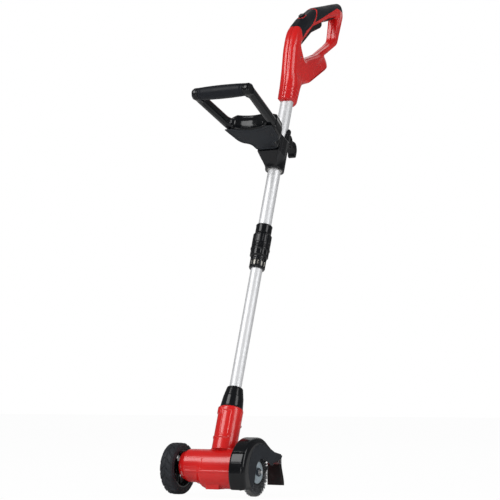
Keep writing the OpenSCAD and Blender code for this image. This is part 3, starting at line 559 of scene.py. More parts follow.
grown("pad_front", grip_pad(PAD_FRONT), (-24, -42, 150), (24, 40, 306), 0.8, in_handle, "handle",
      grip_rubber, "soft_grip", ["grip_pad_front"])
grown("pad_rear", grip_pad(PAD_REAR), (-24, 20, 226), (24, 172, 370), 0.8, in_handle, "handle",
      grip_rubber, "soft_grip", ["grip_pad_rear"])

# ---------------------------------------------------------------- trigger and lock-off button
# A long glossy black strip hinged at its rear end inside the grip, a fixed dark
# strip behind it, and a small ribbed button that slides in a pocket on top.
black_plastic = plastic("black plastic", (0.006, 0.0065, 0.008, 1), (0.0035, 0.004, 0.005, 1),
                        (0.05, 0.054, 0.06, 1), 0.13, 0.22)
GLOSSY = (black_plastic, "black_gloss")
TRIGGER = rounded([(1, 163), (7, 158), (42, 213), (80, 249), (84, 257), (79, 267), (69, 267), (56, 252),
                   (28, 229), (-3, 174)], 5)
TRIGGER_PIN = (74, 264)


def trigger_blade(x, b, a):
    f = pillow(outline(TRIGGER, b, a), x, 7.4, 3.5, 3.5)
    f = f + 0.5 * band(x, 0, 3.6, 0.8) * (1 - smooth(outline(TRIGGER, b, a), -2.5, -1.5))
    return cut(f, np.hypot(b - TRIGGER_PIN[0], a - TRIGGER_PIN[1]) - 2.08)


grown("trigger_blade", trigger_blade, (-9, -6, 154), (9, 88, 270), 0.7, in_handle, "trigger", *GLOSSY,
      ["trigger"])
STRIP = rounded([(79, 263), (105, 283), (136, 309), (139, 318), (104, 291), (72, 264)], 2)


def rear_strip(x, b, a):
    return pillow(outline(STRIP, b, a), x, 6.5, 1.5, 2.5)


grown("rear_strip", rear_strip, (-9, 66, 258), (9, 144, 322), 0.8, in_handle, "handle", *GLOSSY)


def button_block(x, u, v):
    f = meet(np.abs(x) - 4.9, np.abs(u) - 7.4, np.abs(v + 1) - 5.4)
    f = f + 0.5 * (np.cos(u * 2 * np.pi / 2.4) > 0) * smooth(v, 3.2, 3.8) * band(x, 0, 3.6, 0.5)
    flange = meet(np.abs(x) - 7.3, np.abs(u) - 9.8, np.abs(v + 5.5) - 0.9)
    return join(f, flange)


def button_frame(p):
    b = BUTTON[0] + p[:, 1:2] * math.cos(TILT) - p[:, 2:3] * math.sin(TILT)
    a = BUTTON[1] + p[:, 1:2] * math.sin(TILT) + p[:, 2:3] * math.cos(TILT)
    return in_handle(np.concatenate([p[:, :1], b, a], 1))


grown("lock_button", button_block, (-9, -11, -8), (9, 11, 6), 0.45, button_frame, "lock_off", *GLOSSY,
      ["lock_off_button"])

# ---------------------------------------------------------------- handle screws
# Six zinc-plated screws sunk in round wells in the left shell, and one in a
# well low on the right side of the grip.


def plated(name, shade, rough, metal=1.0):
    material, w, feed = new_finish(name, Metallic=metal)
    haze = w.grain(220.0, 4.0, 0.65).between(0.35, 0.7)
    fine = w.grain(3000.0)
    feed(Base_Color=w.blend(haze, shade, tinted(shade, 0.78)),
         Roughness=rough + 0.12 * haze + 0.06 * fine, Normal=w.bump(fine, 0.00001, 0.4))
    return material


zinc = plated("zinc plate", (0.6, 0.61, 0.62, 1), 0.26)


def screw_head(u, v, h):
    """A pan head with a six-lobed socket, its top at h = 0."""
    r, turn = np.hypot(u, v), np.arctan2(v, u)
    head = meet(r - (3.2 - 0.5 * smooth(h, -0.8, 0)), np.abs(h + 0.9) - 0.9)
    lobes = meet(r - (1.25 + 0.22 * np.cos(6 * turn)), -1.1 - h)
    shank = meet(r - 1.7, np.abs(h + 5) - 4.5)
    return join(cut(head, lobes), shank)


head_points, head_faces = skin(screw_head, (-4, -4, -10), (4, 4, 1), 0.32)[:2]


def screws(name, place, spots, outward, body, nodes, finish=zinc):
    """Heads at spots in mm of the place's own frame, all facing outward."""
    w = Vector(outward).normalized()
    u = w.orthogonal().normalized()
    axes = np.array([u, w.cross(u), w]) / 1000
    points = [origin + head_points @ axes for origin in place(np.array(spots, float))]
    faces = [head_faces + i * len(head_points) for i in range(len(spots))]
    return piece(name, np.concatenate(points), np.concatenate(faces), body, finish, nodes)


screws("shell_screws", in_handle, [(-14.2, b, a) for b, a in HANDLE_SCREWS], (-1, 0, 0), "handle",
       ["handle_screws"])
screws("side_screw", in_handle, [(16.9, *SIDE_SCREW)], (1, 0, 0), "handle", [])

# ---------------------------------------------------------------- trigger spring
# A small coil of spring wire that stands between the trigger and a seat in the
# casing.
SPRING_FOOT = MOUTH + 38 * BEHIND + 240 * ALONG
WIRE, COIL, TURNS, SPRING_LENGTH = 0.5, 3.4, 6, 20.0
RINGS = 24
spring_points, spring_faces = [], []
for k in range(TURNS * RINGS + 1):
    turn = 2 * np.pi * k / RINGS
    middle = SPRING_FOOT + [0, 0, WIRE + 0.1 + (SPRING_LENGTH - 2 * WIRE) * k / (TURNS * RINGS)]
    out = np.array([math.cos(turn), math.sin(turn), 0])
    for c in range(8):
        spring_points.append(middle + out * (COIL + WIRE * math.cos(c * np.pi / 4))
                             + [0, 0, WIRE * math.sin(c * np.pi / 4)])
        if k:
            a, b = 8 * k + c, 8 * k + (c + 1) % 8
            spring_faces.append((a - 8, a, b, b - 8))
spring_faces += [tuple(range(8)), tuple(8 * TURNS * RINGS + c for c in range(7, -1, -1))]
trigger_coil = piece("trigger_coil", np.array(spring_points) / 1000, spring_faces, "handle", zinc,
                     ["trigger_spring"])
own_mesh(trigger_coil)

# ---------------------------------------------------------------- tubes
# Two satin anodised aluminium tubes, the lower one sliding in the upper. Drawn
# tube has faint lines along it.


def turned(name, profile, place, body, finish, slot=None, nodes=(), sides=128):
    """A lathe-turned part: its closed profile is (radius, station along the axis)."""
    angle = np.linspace(0, 2 * np.pi, sides, endpoint=False)
    rings = [np.stack([r * np.sin(angle), r * np.cos(angle), np.full(sides, s)], 1) for r, s in profile]
    faces, n = [], len(rings)
    for i in range(n):
        j = (i + 1) % n
        for k in range(sides):
            m = (k + 1) % sides
            faces.append((i * sides + k, i * sides + m, j * sides + m, j * sides + k))
    return piece(name, place(np.concatenate(rings)), faces, body, finish, nodes)


def softened(profile, radius=0.6):
    """A closed profile with small rounded corners."""
    return rounded(profile, radius, 3)


def anodised(name, shade, rough):
    material, w, feed = new_finish(name, Metallic=0.6)
    leaning = w.node("VectorRotate", {"rotation_type": "X_AXIS"}, {"Vector": w.at(), "Angle": LEAN})
    drawn = w.node("VectorMath", {"operation": "MULTIPLY"}, {0: leaning, 1: (900.0, 900.0, 7.0)})
    lines = w.node("TexNoise", {}, {"Vector": drawn, "Scale": 1.0, "Detail": 3.0})
    haze = w.grain(14.0, 4.0).between(0.3, 0.7)
    fine = w.grain(2500.0)
    feed(Base_Color=w.blend(0.15 * lines + 0.2 * haze, shade, tinted(shade, 0.8)),
         Roughness=rough + 0.04 * lines + 0.06 * haze + 0.02 * fine,
         Normal=w.bump(lines, 0.000004, 0.2))
    return material


tube_metal = anodised("anodised tube", (0.76, 0.765, 0.78, 1), 0.46)
reference = pole_frame(0)
turned("tube_upper", softened([(14, 445), (14, 881), (12.6, 881), (12.6, 445)], 0.4), reference,
       "handle", tube_metal, "tube", ["upper_tube"])
turned("tube_lower", softened([(12.52, 42), (12.52, 638), (11.12, 638), (11.12, 42)], 0.4), reference,
       "lower_pole", tube_metal, "tube", ["lower_tube"])

# ---------------------------------------------------------------- telescopic clamp
# A glossy black two-part clamp: a body with flats and thin rings fixed on the
# upper tube, and a nut below it with finger flutes that pinches a slotted collet.


def flutes(x, b, count, width, shift=0.0):
    """Soft grooves along the pole, evenly spaced round it."""
    turn = np.arctan2(x, b) * count / (2 * np.pi) + shift
    return band(turn - np.round(turn), 0, width, 0.12)


def clamp_top(x, b, s):
    r = np.hypot(x, b)
    wall = 17.2 + 2.7 * (1 - smooth(s, 465, 468.5)) + 0.4 * band(s, 487.5, 0.8, 0.6)
    wall = wall - 1.3 * (1 - smooth(s, 443.4, 444)) - 0.8 * band(s, 469.3, 0.3, 0.5)
    for middle in (436.6, 439.6, 442.6):
        wall = wall + 1.2 * band(s, middle, 0.8, 0.5)
    wall = wall - 0.8 * flutes(x, b, 8, 0.2) * band(s, 455, 7.5, 2)
    f = meet(r - wall, s - 489, 435.4 - s)
    spigot = meet(r - 16, s - 440, 405 - s)
    return cut(join(f, spigot), r - np.where(s < 444.8, 12.6, 14.05))


grown("clamp_top", clamp_top, (-23, -23, 403), (23, 23, 491), 0.7, reference, "handle", *GLOSSY,
      ["clamp_body"])


def clamp_ring(x, b, s):
    r = np.hypot(x, b)
    wall = 17.2 + 2.6 * smooth(s, 414, 417.5) + 0.9 * band(s, 432.7, 1.4, 0.8)
    wall = wall - 1.4 * (1 - smooth(s, 388, 391.5))
    wall = wall - 0.8 * flutes(x, b, 8, 0.2, 0.5) * band(s, 424, 4.5, 1.5)
    wall = wall - 0.5 * flutes(x, b, 12, 0.22) * band(s, 402, 8, 2)
    f = meet(r - wall, s - 435, 388 - s)
    bore = np.where(s < 391.6, 12.92, 16.4)
    return cut(f, r - bore)


grown("clamp_ring", clamp_ring, (-23, -23, 386), (23, 23, 437), 0.7, reference, "clamp_nut", *GLOSSY,
      ["clamp_nut"])

# ---------------------------------------------------------------- front handle frame
# One glossy black moulding: two rounded arms and a bar end each side, on a deep
# hollow web whose front edge is a shallow arc. Square to the pole.
BAR = (-264, 17)
BACK_EDGE = -44
FRAME_HALF = [(69, -262), (59, -137), (52, -91), (45, -78), (29, -70), (28, BACK_EDGE)]
FRAME = rounded(FRAME_HALF + [(-x, b) for x, b in FRAME_HALF[::-1]], 14)
OPENING = rounded([(-43, -146), (-25, -137), (0, -133.5), (25, -137), (43, -146), (52, -249),
                   (-52, -249)], 9)
deck = pole_frame(650)


def front_frame(x, b, t):
    flat = cut(outline(FRAME, x, b), outline(OPENING, x, b))
    from_bar = np.hypot(b - BAR[0], t - BAR[1])
    arms = pillow(flat, t - BAR[1], 11.2, 7.2, 8.2)
    web_flat = cut(flat, b + 147 - 0.006 * x * x)
    web = pillow(web_flat, t - 19, 18.8, 7, 6)
    f = melt(arms, web, 5)
    ends = meet(from_bar - (13.0 - 2.2 * smooth(np.abs(x), 62, 67)), np.abs(x) - 67, 51.5 - np.abs(x))
    f = melt(f, ends, 4)
    bar_room = meet(from_bar - 16.5, np.abs(x) - 52.1)
    f = join(cut(f, bar_room), meet(from_bar - 9, np.abs(x) - 60))
    f = f + 0.8 * band(np.abs(x), 55, 0.5, 0.6) * (1 - smooth(b, -252, -248))
    f = cut(f, flat + 3.1, -141 - b, t - 2.6)
    rim = band(web_flat, -4.4, 0.5, 0.5) * smooth(t, 34, 36)
    return f + 0.7 * rim


grown("front_frame", front_frame, (-72, -282, -3), (72, -42, 41), 1.1, deck, "front_handle", *GLOSSY,
      ["front_handle_frame"])

# ---------------------------------------------------------------- front grip
# A barrel-shaped soft rubber sleeve on the bar, pinched by a ring groove near
# each end.


def across(b, t):
    """Turns a part made round its own Z into one along X, at a place in the pole's plane."""
    return lambda p: deck(np.stack([p[:, 2], b + p[:, 0], t + p[:, 1]], 1))


GRIP_HALF = 52
grip_line = [(14.4 - 1.4 * (z / GRIP_HALF) ** 2 - 1.5 * float(band(abs(z), 46.5, 0.6, 0.7))
              - 1.2 * float(smooth(abs(z), 51, 52)), z) for z in np.linspace(-GRIP_HALF, GRIP_HALF, 131)]
turned("front_grip", grip_line + [(9.1, GRIP_HALF), (9.1, -GRIP_HALF)], across(*BAR), "front_handle",
       grip_rubber, "soft_grip", ["front_grip_sleeve"])

# ---------------------------------------------------------------- web cover
# A matte dark-grey plate that closes the hollow web from below, held by four
# screws, with a fine spark-eroded texture and a shallow step round it.
matte_plastic, w, feed = new_finish("dark matte plastic", IOR=1.47, Specular_IOR_Level=0.16)
spark = w.grain(1500.0, 3.0, 0.6)
mottle = w.grain(26.0, 4.0).between(0.35, 0.7)
feed(Base_Color=w.blend(w.wear() * 0.4, w.blend(mottle, (0.013, 0.015, 0.019, 1), (0.02, 0.023, 0.028, 1)),
                        (0.12, 0.13, 0.14, 1)),
     Roughness=0.5 + 0.12 * mottle + 0.08 * spark, Normal=w.bump(spark, 0.00005, 0.7))
COVER_SCREWS = [(-40, -104), (40, -104), (-18, -58), (18, -58)]


def web_plate(x, b, t):
    flat = meet(cut(outline(FRAME, x, b), outline(OPENING, x, b)) + 3.3, -b - 141)
    f = pillow(flat, t - 1.35, 1.2, 1.0, 0.7)
    f = f + 0.5 * band(flat, -6, 0.5, 0.4)
    for sx, sb in COVER_SCREWS:
        f = cut(f, np.hypot(x - sx, b - sb) - 3.4, t - 1.5)
    return f


grown("web_plate", web_plate, (-66, -146, -2), (66, -42, 5), 0.8, deck, "front_handle", matte_plastic,
      "dark_matte", ["web_cover"])
screws("cover_screws", deck, [(x, b, 0.3) for x, b in COVER_SCREWS], -ALONG, "front_handle",
       ["web_screws"], black_plastic)

# ---------------------------------------------------------------- bracket and lever
# A black collar on two bushes slides on the upper tube. Four screws hold the web
# to it, and a claw-shaped cam lever at the back locks it through a pressure pad.
COLLAR_BOLTS = ((-16, 12), (16, 12), (-16, 28), (16, 28))


def bracket(x, b, t):
    r = np.hypot(x, b)
    drop = np.clip((t + 28) / 28, 0, 1)
    half = 14 + 13 * drop * (1 - smooth(b, -14, 6) * 0.5)
    block = meet(np.abs(x) - half, b - 2, -(b + 43.8) * drop - (b + 22) * (1 - drop), -27.5 - t, t - 39.5)
    f = melt(meet(r - 20.8, -28 - t, t - 71.5), block + 1.5, 7)
    f = join(f, meet(np.abs(np.abs(x) - 10.4) - 2.0, np.hypot(b - 22, t - 58) - 12, 8 - b))
    ridge = band(np.abs(x), half - 2, 0.8, 1.0) * (1 - smooth(b, -34, -28)) * band(t, 8, 30, 2)
    f = f - 0.5 * ridge
    f = cut(f, np.abs(x) - 8.4, 14.0 - b, 46 - t, t - 86)
    f = cut(f, np.abs(x) - 35, b + 8 - 0.18 * (t - 46), 46 - t)
    f = f + 0.8 * band(t, 42.6, 0.5, 0.6)
    for sx, st in COLLAR_BOLTS:
        f = cut(f, np.hypot(x - sx, t - st) - 1.85, b + 31)
    return cut(f, r - 16.05)


grown("bracket", bracket, (-31, -46, -30), (31, 36, 74), 0.9, deck, "front_handle", *GLOSSY,
      ["bracket_collar"])
LEVER = rounded([(27, 66), (39, 69), (53, 71), (62, 66), (67.5, 55), (67, 38.5), (61, 38.5), (57, 48),
                 (48, 53.5), (36, 53), (27, 50)], 5)
LEVER_PIN = (27, 58)


def lever(x, b, t):
    flat = outline(LEVER, b, t)
    arm = pillow(flat, x, 7.9 + 1.5 * smooth(b, 44, 56), 3, 3)
    arm = arm + 0.6 * band(x, 0, 4.6, 0.8) * (1 - smooth(flat, -2.6, -1.8)) * smooth(b, 36, 40)
    from_pin = np.hypot(b - LEVER_PIN[0], t - LEVER_PIN[1])
    cam = meet(from_pin - 7.9, np.abs(x) - 7.9)
    return cut(melt(arm, cam, 2), from_pin - 2.58)


grown("lever", lever, (-11, 17, 35), (11, 70, 74), 0.7, deck, "lever", *GLOSSY, ["clamp_lever"])
screws("collar_bolts", deck, [(x, -46.6, t) for x, t in COLLAR_BOLTS], -BEHIND, "front_handle",
       ["collar_screws"])
turned("cam_pin", softened([(0.01, -12), (2.5, -12), (2.5, 12), (0.01, 12)], 0.5), across(*LEVER_PIN),
       "front_handle", zinc, "fastener", ["lever_pin"], 40)

# ---------------------------------------------------------------- cone collar
# A glossy black cone that closes the gap between the tube and the neck, with a
# break half way up and a fine bead at its foot.
turned("cone", softened([(12.6, 77.2), (23.4, 77.2), (23.8, 78.4), (23.2, 80), (20.9, 101),
                         (20.4, 102.6), (16.8, 120), (15.7, 122), (12.6, 122)], 0.7), reference,
       "lower_pole", *GLOSSY, ["cone_collar"])

# ---------------------------------------------------------------- head shells
# The red motor head: a leaning neck let into a cross barrel, moulded in a front
# and a rear half. A raised latch block and a sunk panel sit on the neck, and a
# belly under the barrel holds the gears.
GROUND = MOUTH - MOUTH_AT * ALONG - np.array([0, 12, 100])
BRUSH_UP, WHEEL_UP = 48.5, 52
HEAD_BOLTS = [(-19, 44), (19, 44)]


def standing(p):
    return (GROUND + p) / 1000


def on_neck(y, z):
    """How far behind the pole's axis, and how far up along it, a place in the head is."""
    return ((y - 12) * math.cos(LEAN) - (z - 100) * math.sin(LEAN),
            (y - 12) * math.sin(LEAN) + (z - 100) * math.cos(LEAN))


def head_body(x, y, z):
    b, s = on_neck(y, z)
    r = np.hypot(x, b)
    neck = meet(r - 25.1 + 1.4 * smooth(s, 74, 77.5), s - 77, -14 - s)
    right_end = 2.6 * smooth(x, 44.5, 48.5)
    barrel = meet(np.hypot(y, z - 58.5) - (33.4 - 5.2 * (1 - smooth(x, -84, -70)) - right_end),
                  -84 - x, x - 48.4)
    belly = meet(np.hypot(y, z - 47.8) - (34.2 - 9 * (1 - smooth(x, -50, -32)) - right_end),
                 -50 - x, x - 48.4)
    return melt(melt(barrel, belly, 5), neck, 4), b, s


def head_shell(x, y, z):
    f, b, s = head_body(x, y, z)
    hollow = f + 2.6
    turn = np.degrees(np.arctan2(x, -b))
    f = f - 2.0 * band(turn, -36, 16, 7) * band(s, 68, 6.5, 2.5) * (b < 6)
    f = f + 0.9 * band(turn, 12, 17, 5) * band(s, 42, 24, 2) * (b < 0)
    foot = band(s, 11.5, 1.4, 2.0) * band(turn, -16, 48, 8) * (b < 0)
    f = f - 1.3 * foot
    rib = band(z, 49, 1.1, 1.8) * (y < 0) * band(x, -18, 58, 6)
    f = f - 0.9 * rib
    label_step = band(x, -52, 22, 1.8) * band(z, 66, 9.5, 1.8) * (y < 0)
    f = f + 0.5 * label_step
    tab = meet(np.abs(x + 9) - 16, np.abs(y + 13) - 12, np.abs(z - 18.5) - 6)
    f = melt(f, tab + 1.0, 2)
    f = f + 0.6 * band(b, 0, 0.15, 1.5)
    f = cut(f, np.hypot(y, z - BRUSH_UP) - 17.0, 38 - x)
    bore = meet(np.hypot(x, b) - 12.6, 20 - s)
    axle = meet(np.hypot(y, z - WHEEL_UP) - 4.1, x + 62)
    for sx, ss in HEAD_BOLTS:
        f = cut(f, np.hypot(x - sx, s - ss) - 3.6, 13.0 - b)
    return cut(f, join(hollow, bore, axle))


for name, side, front, rear in (("front", 1, -38, 50), ("rear", -1, -30, 68)):
    grown("head_" + name, lambda x, y, z: meet(head_shell(x, y, z), 0.02 + side * on_neck(y, z)[0]),
          (-87, front, 9), (51, rear, 184), 0.85, standing, "lower_pole", red_plastic, "red_shell",
          ["head_shell_" + name])
screws("head_bolts", reference, [(x, 15.9, s) for x, s in HEAD_BOLTS], BEHIND, "lower_pole",
       ["head_screws"])

# ---------------------------------------------------------------- guard
# A glossy black drum over the brush with a broad rolled lip and a tail that
# flares to the rear, screwed to the head. A matte plate is let into its face and
# both are open round the brush's hub, below it and behind it.
ARC = [(68.3 * math.sin(a), 68.3 * math.cos(a)) for a in np.radians(np.linspace(118, -38, 40))]
GUARD = np.array([(12, -40)] + ARC + [(-58, 44.5), (-76, 37.3), (-103.5, 32.3), (-99.5, 22.6), (-60, 13),
                                      (-54, 8)])
WINDOW = rounded([(-53, 11), (-40, 16), (-30, 21.5), (-16, 26), (-4, 25), (5, 20), (12, 14), (15.5, 1),
                  (20.5, -16.5), (24, -24.5), (32, -29.5), (41.5, -31.7), (57, -32.5), (80, -90), (-90, -90),
                  (-90, 2), (-60, 8)], 4, 3)
TAIL = np.array([(-20, 50), (-41.5, 44.5), (-66.9, 35.2), (-76, 33.8), (-99.5, 29.4), (-96, 24.2), (-60, 13),
                 (-30, 0)], float)


def guard_places(y, z):
    """Distances outside the guard's outline, its face plate's and the opening's."""
    forward, up = -y, z - BRUSH_UP
    plate = join(np.hypot(forward + 6.4, up - 4.8) - 50, outline(TAIL, forward, up))
    return outline(GUARD, forward, up), plate, outline(WINDOW, forward, up)


def guard_drum(x, y, z):
    flat, plate, window = guard_places(y, z)
    up, inner_face = z - BRUSH_UP, x - 81.2
    f = pillow(flat, x - 66.9, 18.1, 11, 7)
    f = cut(f, plate - 0.4, 83.2 - x)
    hollow = meet(flat + 2.8, join(inner_face, plate + 3))
    under = meet(up - 29.4 + 0.16 * (y - 60), 52 - y, inner_face)
    lower = meet(up + 8 + 0.9 * np.minimum(0, y), -56 - y, inner_face)
    f = cut(f, join(hollow, under, lower), 51.6 - x)
    f = cut(f, window, 78 - x)
    return cut(f, np.hypot(y, up) - 17.2)


grown("guard_drum", guard_drum, (47, -71, 1), (87, 107, 120), 0.95, standing, "lower_pole", *GLOSSY,
      ["brush_guard"])


def face_plate(x, y, z):
    flat, plate, window = guard_places(y, z)
    edge = meet(flat + 1.6, plate, -window)
    f = pillow(edge, x - 84.4, 1.1, 1.0, 0.8)
    return f + 0.4 * band(window, 3.2, 0.4, 0.4) * smooth(x, 84.4, 85)


grown("face_plate", face_plate, (82, -71, 1), (87, 107, 120), 0.8, standing, "lower_pole",
      matte_plastic, "dark_matte", ["guard_face_plate"])
GUARD_SCREWS = [(-23 * math.sin(math.radians(a)), BRUSH_UP + 23 * math.cos(math.radians(a)))
                for a in (60, 180, 300)]
screws("guard_bolts", standing, [(53.4, y, z) for y, z in GUARD_SCREWS], (1, 0, 0), "lower_pole",
       ["guard_screws"])

# ---------------------------------------------------------------- rubber flap
# A sheet of black rubber hung from the tail of the guard, held by a steel strip
# and two rivets. It widens to the right as it nears the ground, and is dusty.
sheet_rubber, w, feed = new_finish("flap rubber", IOR=1.5, Specular_IOR_Level=0.4)
dust = w.grain(90.0, 6.0, 0.7).between(0.5, 0.75)
cast = w.grain(700.0, 3.0)
feed(Base_Color=w.blend(dust, (0.008, 0.008, 0.009, 1), (0.035, 0.034, 0.033, 1)),
     Roughness=0.45 + 0.25 * dust, Normal=w.bump(cast, 0.00006, 0.6))


def flap(x, y, z):
    depth = np.abs(y - 97.5)
    edge = join(x - 52.2, 83.4 + 6.0 * (1 - smooth(z, 20, 64)) - x)
    f = meet(cut(depth - 1.4, edge), z - 78.6, 18.1 - z)
    return f + 0.5 * band(edge, 2.4, 0.5, 0.5) * smooth(depth, 0.9, 1.1)


grown("flap", flap, (50, 94, 16), (92, 101, 81), 0.7, standing, "lower_pole", sheet_rubber,
      "flap_rubber", ["mud_flap"])

# ---------------------------------------------------------------- wire brush
# Thousands of stiff steel wires twisted into tufts and pinched between two
# pressed flanges on a hub, dark near the hub with painted shade where the packed
# wires let little light in and bright where they wear at the tips, all held on
# the spindle by a hexagonal nut.


def from_spindle(w):
    """Distance of the surface from the brush's axis, in metres."""
    out = w.node("SeparateXYZ", {}, {"Vector": w.at()}, 1) - GROUND[1] / 1000
    up = w.node("SeparateXYZ", {}, {"Vector": w.at()}, 2) - (GROUND[2] + BRUSH_UP) / 1000
    return w.math("SQRT", out * out + up * up)


wire_metal, w, feed = new_finish("brush wire", Metallic=0.9)
# Colour runs from dark near the hub, painted shade among the packed wires, to the lighter worn tips.
reach = from_spindle(w).between(0.041, 0.0485)
strand = w.grain(900.0, 2.0)
# The dark colour in this strand mix is that painted hub shade; the strand noise itself is random tone.
strand_tone_and_hub_shade = w.blend(strand.between(0.4, 0.62), (0.015, 0.016, 0.018, 1), (0.3, 0.31, 0.33, 1))
feed(Base_Color=w.blend(reach, strand_tone_and_hub_shade, (0.36, 0.36, 0.36, 1)),
     Roughness=0.42 + 0.2 * strand - 0.1 * reach)
chance = np.random.default_rng(7)
TUFTS, ROOT, BRUSH_MIDDLE, THIN = 40, 20, 73.7, 0.27
wire_points, wire_faces = [], []
for k in range(3600):
    tuft = 2 * np.pi * (k % TUFTS) / TUFTS
    splay, lean = chance.normal(0, 0.032), chance.normal(0, 2.3)
    tip = chance.uniform(46.4, 48.3)
    phase = chance.uniform(0, 6.28)
    base = len(wire_points)
    for j in range(6):
        t = j / 5
        r = ROOT + (tip - ROOT) * t
        a = tuft + splay * (0.6 + 0.6 * t) + 0.5 * math.sin(phase + 8 * t) / r
        x = np.clip(BRUSH_MIDDLE + lean * (0.7 + 0.9 * t) + 0.35 * math.sin(phase * 2 + 9 * t), 68.4, 79.0)
        for corner in (0, 2.094, 4.189):
            wire_points.append((x + THIN * math.cos(corner),
                                r * math.sin(a) + THIN * math.sin(corner) * math.cos(a),
                                BRUSH_UP + r * math.cos(a) - THIN * math.sin(corner) * math.sin(a)))
    for j in range(base, base + 15, 3):
        for c in range(3):
            d = (c + 1) % 3
            wire_faces.append((j + c, j + d, j + 3 + d, j + 3 + c))
    wire_faces.append((base + 2, base + 1, base))
    wire_faces.append((base + 15, base + 16, base + 17))
piece("wires", standing(np.array(wire_points)), wire_faces, "brush", wire_metal,
      ["wire_brush"])

# The roots are coloured near black: painted shade deep among the packed wires, varied a little by noise.
root_metal, w, feed = new_finish("brush roots", Metallic=0.6)
root_shade_grain = w.grain(500.0, 4.0)
feed(Base_Color=w.blend(root_shade_grain, (0.006, 0.006, 0.007, 1), (0.03, 0.031, 0.034, 1)),
     Roughness=0.6 + 0.2 * root_shade_grain, Normal=w.bump(root_shade_grain, 0.0003, 0.7))


def packed_wires(x, y, z):
    """The tufts' roots, so tightly packed that no light passes between them."""
    r, turn = np.hypot(y, z - BRUSH_UP), np.arctan2(y, z - BRUSH_UP)
    ridge = np.cos(turn * TUFTS)
    half = 3.4 + 0.45 * ridge + 0.25 * np.cos(turn * TUFTS * 5 + 0.3 * r)
    return meet(r - 34 - 3 * ridge, 16.1 - r, np.abs(x - BRUSH_MIDDLE) - half)


grown("packed_wires", packed_wires, (67, -46, 2), (80, 46, 95), 0.8, standing, "brush", root_metal,
      "brush_wire")


def on_spindle(p):
    """Turns a part made round its own Z into one round the brush's axis."""
    return standing(np.stack([p[:, 2], p[:, 0], BRUSH_UP + p[:, 1]], 1))


def pressed(name, shade, rough):
    """Spun or pressed steel: fine rings round the brush's axis, and a little stain."""
    material, w, feed = new_finish(name, Metallic=1.0)
    rings = w.node("TexNoise", {}, {"Vector": w.node("CombineXYZ", {}, {0: from_spindle(w) * 2600.0}),
                                    "Scale": 1.0, "Detail": 3.0})
    stain = w.grain(70.0, 5.0, 0.65).between(0.45, 0.75)
    feed(Base_Color=w.blend(stain, shade, tinted(shade, 0.55)),
         Roughness=rough + 0.12 * rings + 0.15 * stain, Normal=w.bump(rings, 0.00003, 0.5))
    return material


flange_metal = pressed("flange steel", (0.44, 0.52, 0.57, 1), 0.34)
black_metal = pressed("blackened steel", (0.1, 0.11, 0.125, 1), 0.38)
turned("flange_outer", softened([(5.1, 79.5), (22.4, 79.5), (22.4, 80.6), (20.9, 81.3), (12.4, 81.3),
       (11.2, 80.9), (10.6, 81.35), (5.1, 81.35)], 0.35), on_spindle, "brush", flange_metal,
       "flange_steel", ["outer_flange"])
turned("flange_inner", softened([(5.1, 53.9), (12, 53.9), (12, 65.9), (22.4, 66.1), (22.4, 67.9),
       (5.1, 67.9)], 0.35), on_spindle, "brush", flange_metal, "flange_steel", ["inner_flange"])


def thread(x, y, z):
    """The cosine of a screw thread of 1 mm pitch round the brush's axis."""
    return np.cos(2 * np.pi * (x + np.arctan2(y, z - BRUSH_UP) / (2 * np.pi)))


def hex_nut(x, y, z):
    up = z - BRUSH_UP
    hexagon = np.maximum.reduce([np.abs(y * math.sin(a) + up * math.cos(a))
                                 for a in np.radians([30, 90, 150])])
    r = np.hypot(y, up)
    f = meet(hexagon - 7.4, 81.44 - x, x - 85.9)
    f = meet(f, r - 8.55 + 1.1 * smooth(x, 84.6, 85.9))
    chamfer = 0.9 * smooth(x, 84.9, 85.9)
    return cut(f, r - (5.1 + 0.2 * thread(x, y, z)) - chamfer)


grown("nut", hex_nut, (80, -12, 36), (90, 12, 61), 0.4, standing, "brush", black_metal, "nut_steel",
      ["brush_nut"])


def spindle(x, y, z):
    r = np.hypot(y, z - BRUSH_UP)
    wall = np.where(x < 86.02, 5.0, 3.95) - 0.6 * smooth(x, 89.7, 90.5)
    wall = wall - 0.2 * (0.5 + 0.5 * thread(x, y, z)) * (x > 82)
    return join(meet(r - wall, x - 90.4, 24.1 - x), meet(r - 7.45, x - 53.8, 47.1 - x))


grown("spindle", spindle, (22, -9, 39), (93, 9, 58), 0.5, standing, "brush", zinc, "machine_steel",
      ["output_spindle"])

# ---------------------------------------------------------------- wheel
# A black moulded rim with five openings, pressed into a tyre with two rows of
# slanted blocks that meet in a chevron. It runs free on a steel axle.
WHEEL_MIDDLE = -102


def wheel_polar(y, z):
    return np.hypot(y, z - WHEEL_UP), np.arctan2(y, z - WHEEL_UP)


def rim(x, y, z):
    r, turn = wheel_polar(y, z)
    u = x - WHEEL_MIDDLE
    hub = meet(r - (11.8 - 1.5 * smooth(-u, 11.6, 13)), -u - 12.9, u - 15.4)
    ring = meet(r - 38.95, 34.6 + 1.2 * band(u, 0, 8, 4) - r, np.abs(u) - 12.9)
    wedge = turn * 5 / (2 * np.pi)
    wedge = (wedge - np.round(wedge)) * 2 * np.pi / 5 * r
    dish = meet(np.abs(u + 1.5 + 0.06 * (r - 20)) - 2.3, r - 36, 11 - r)
    hole = meet(np.abs(wedge) - 0.4 * r, 15.2 - r, r - 33.2)
    spokes = cut(dish, hole)
    rib = meet(np.abs(np.abs(wedge) - 0.4 * r - 0.9) - 0.9, np.abs(u + 2) - 5, r - 35.5, 11.5 - r)
    f = melt(melt(hub, ring, 1.5), join(spokes, rib), 1.5)
    well = meet(r - 7.5, u + 8.7)
    return cut(f, join(r - 4.08, well))


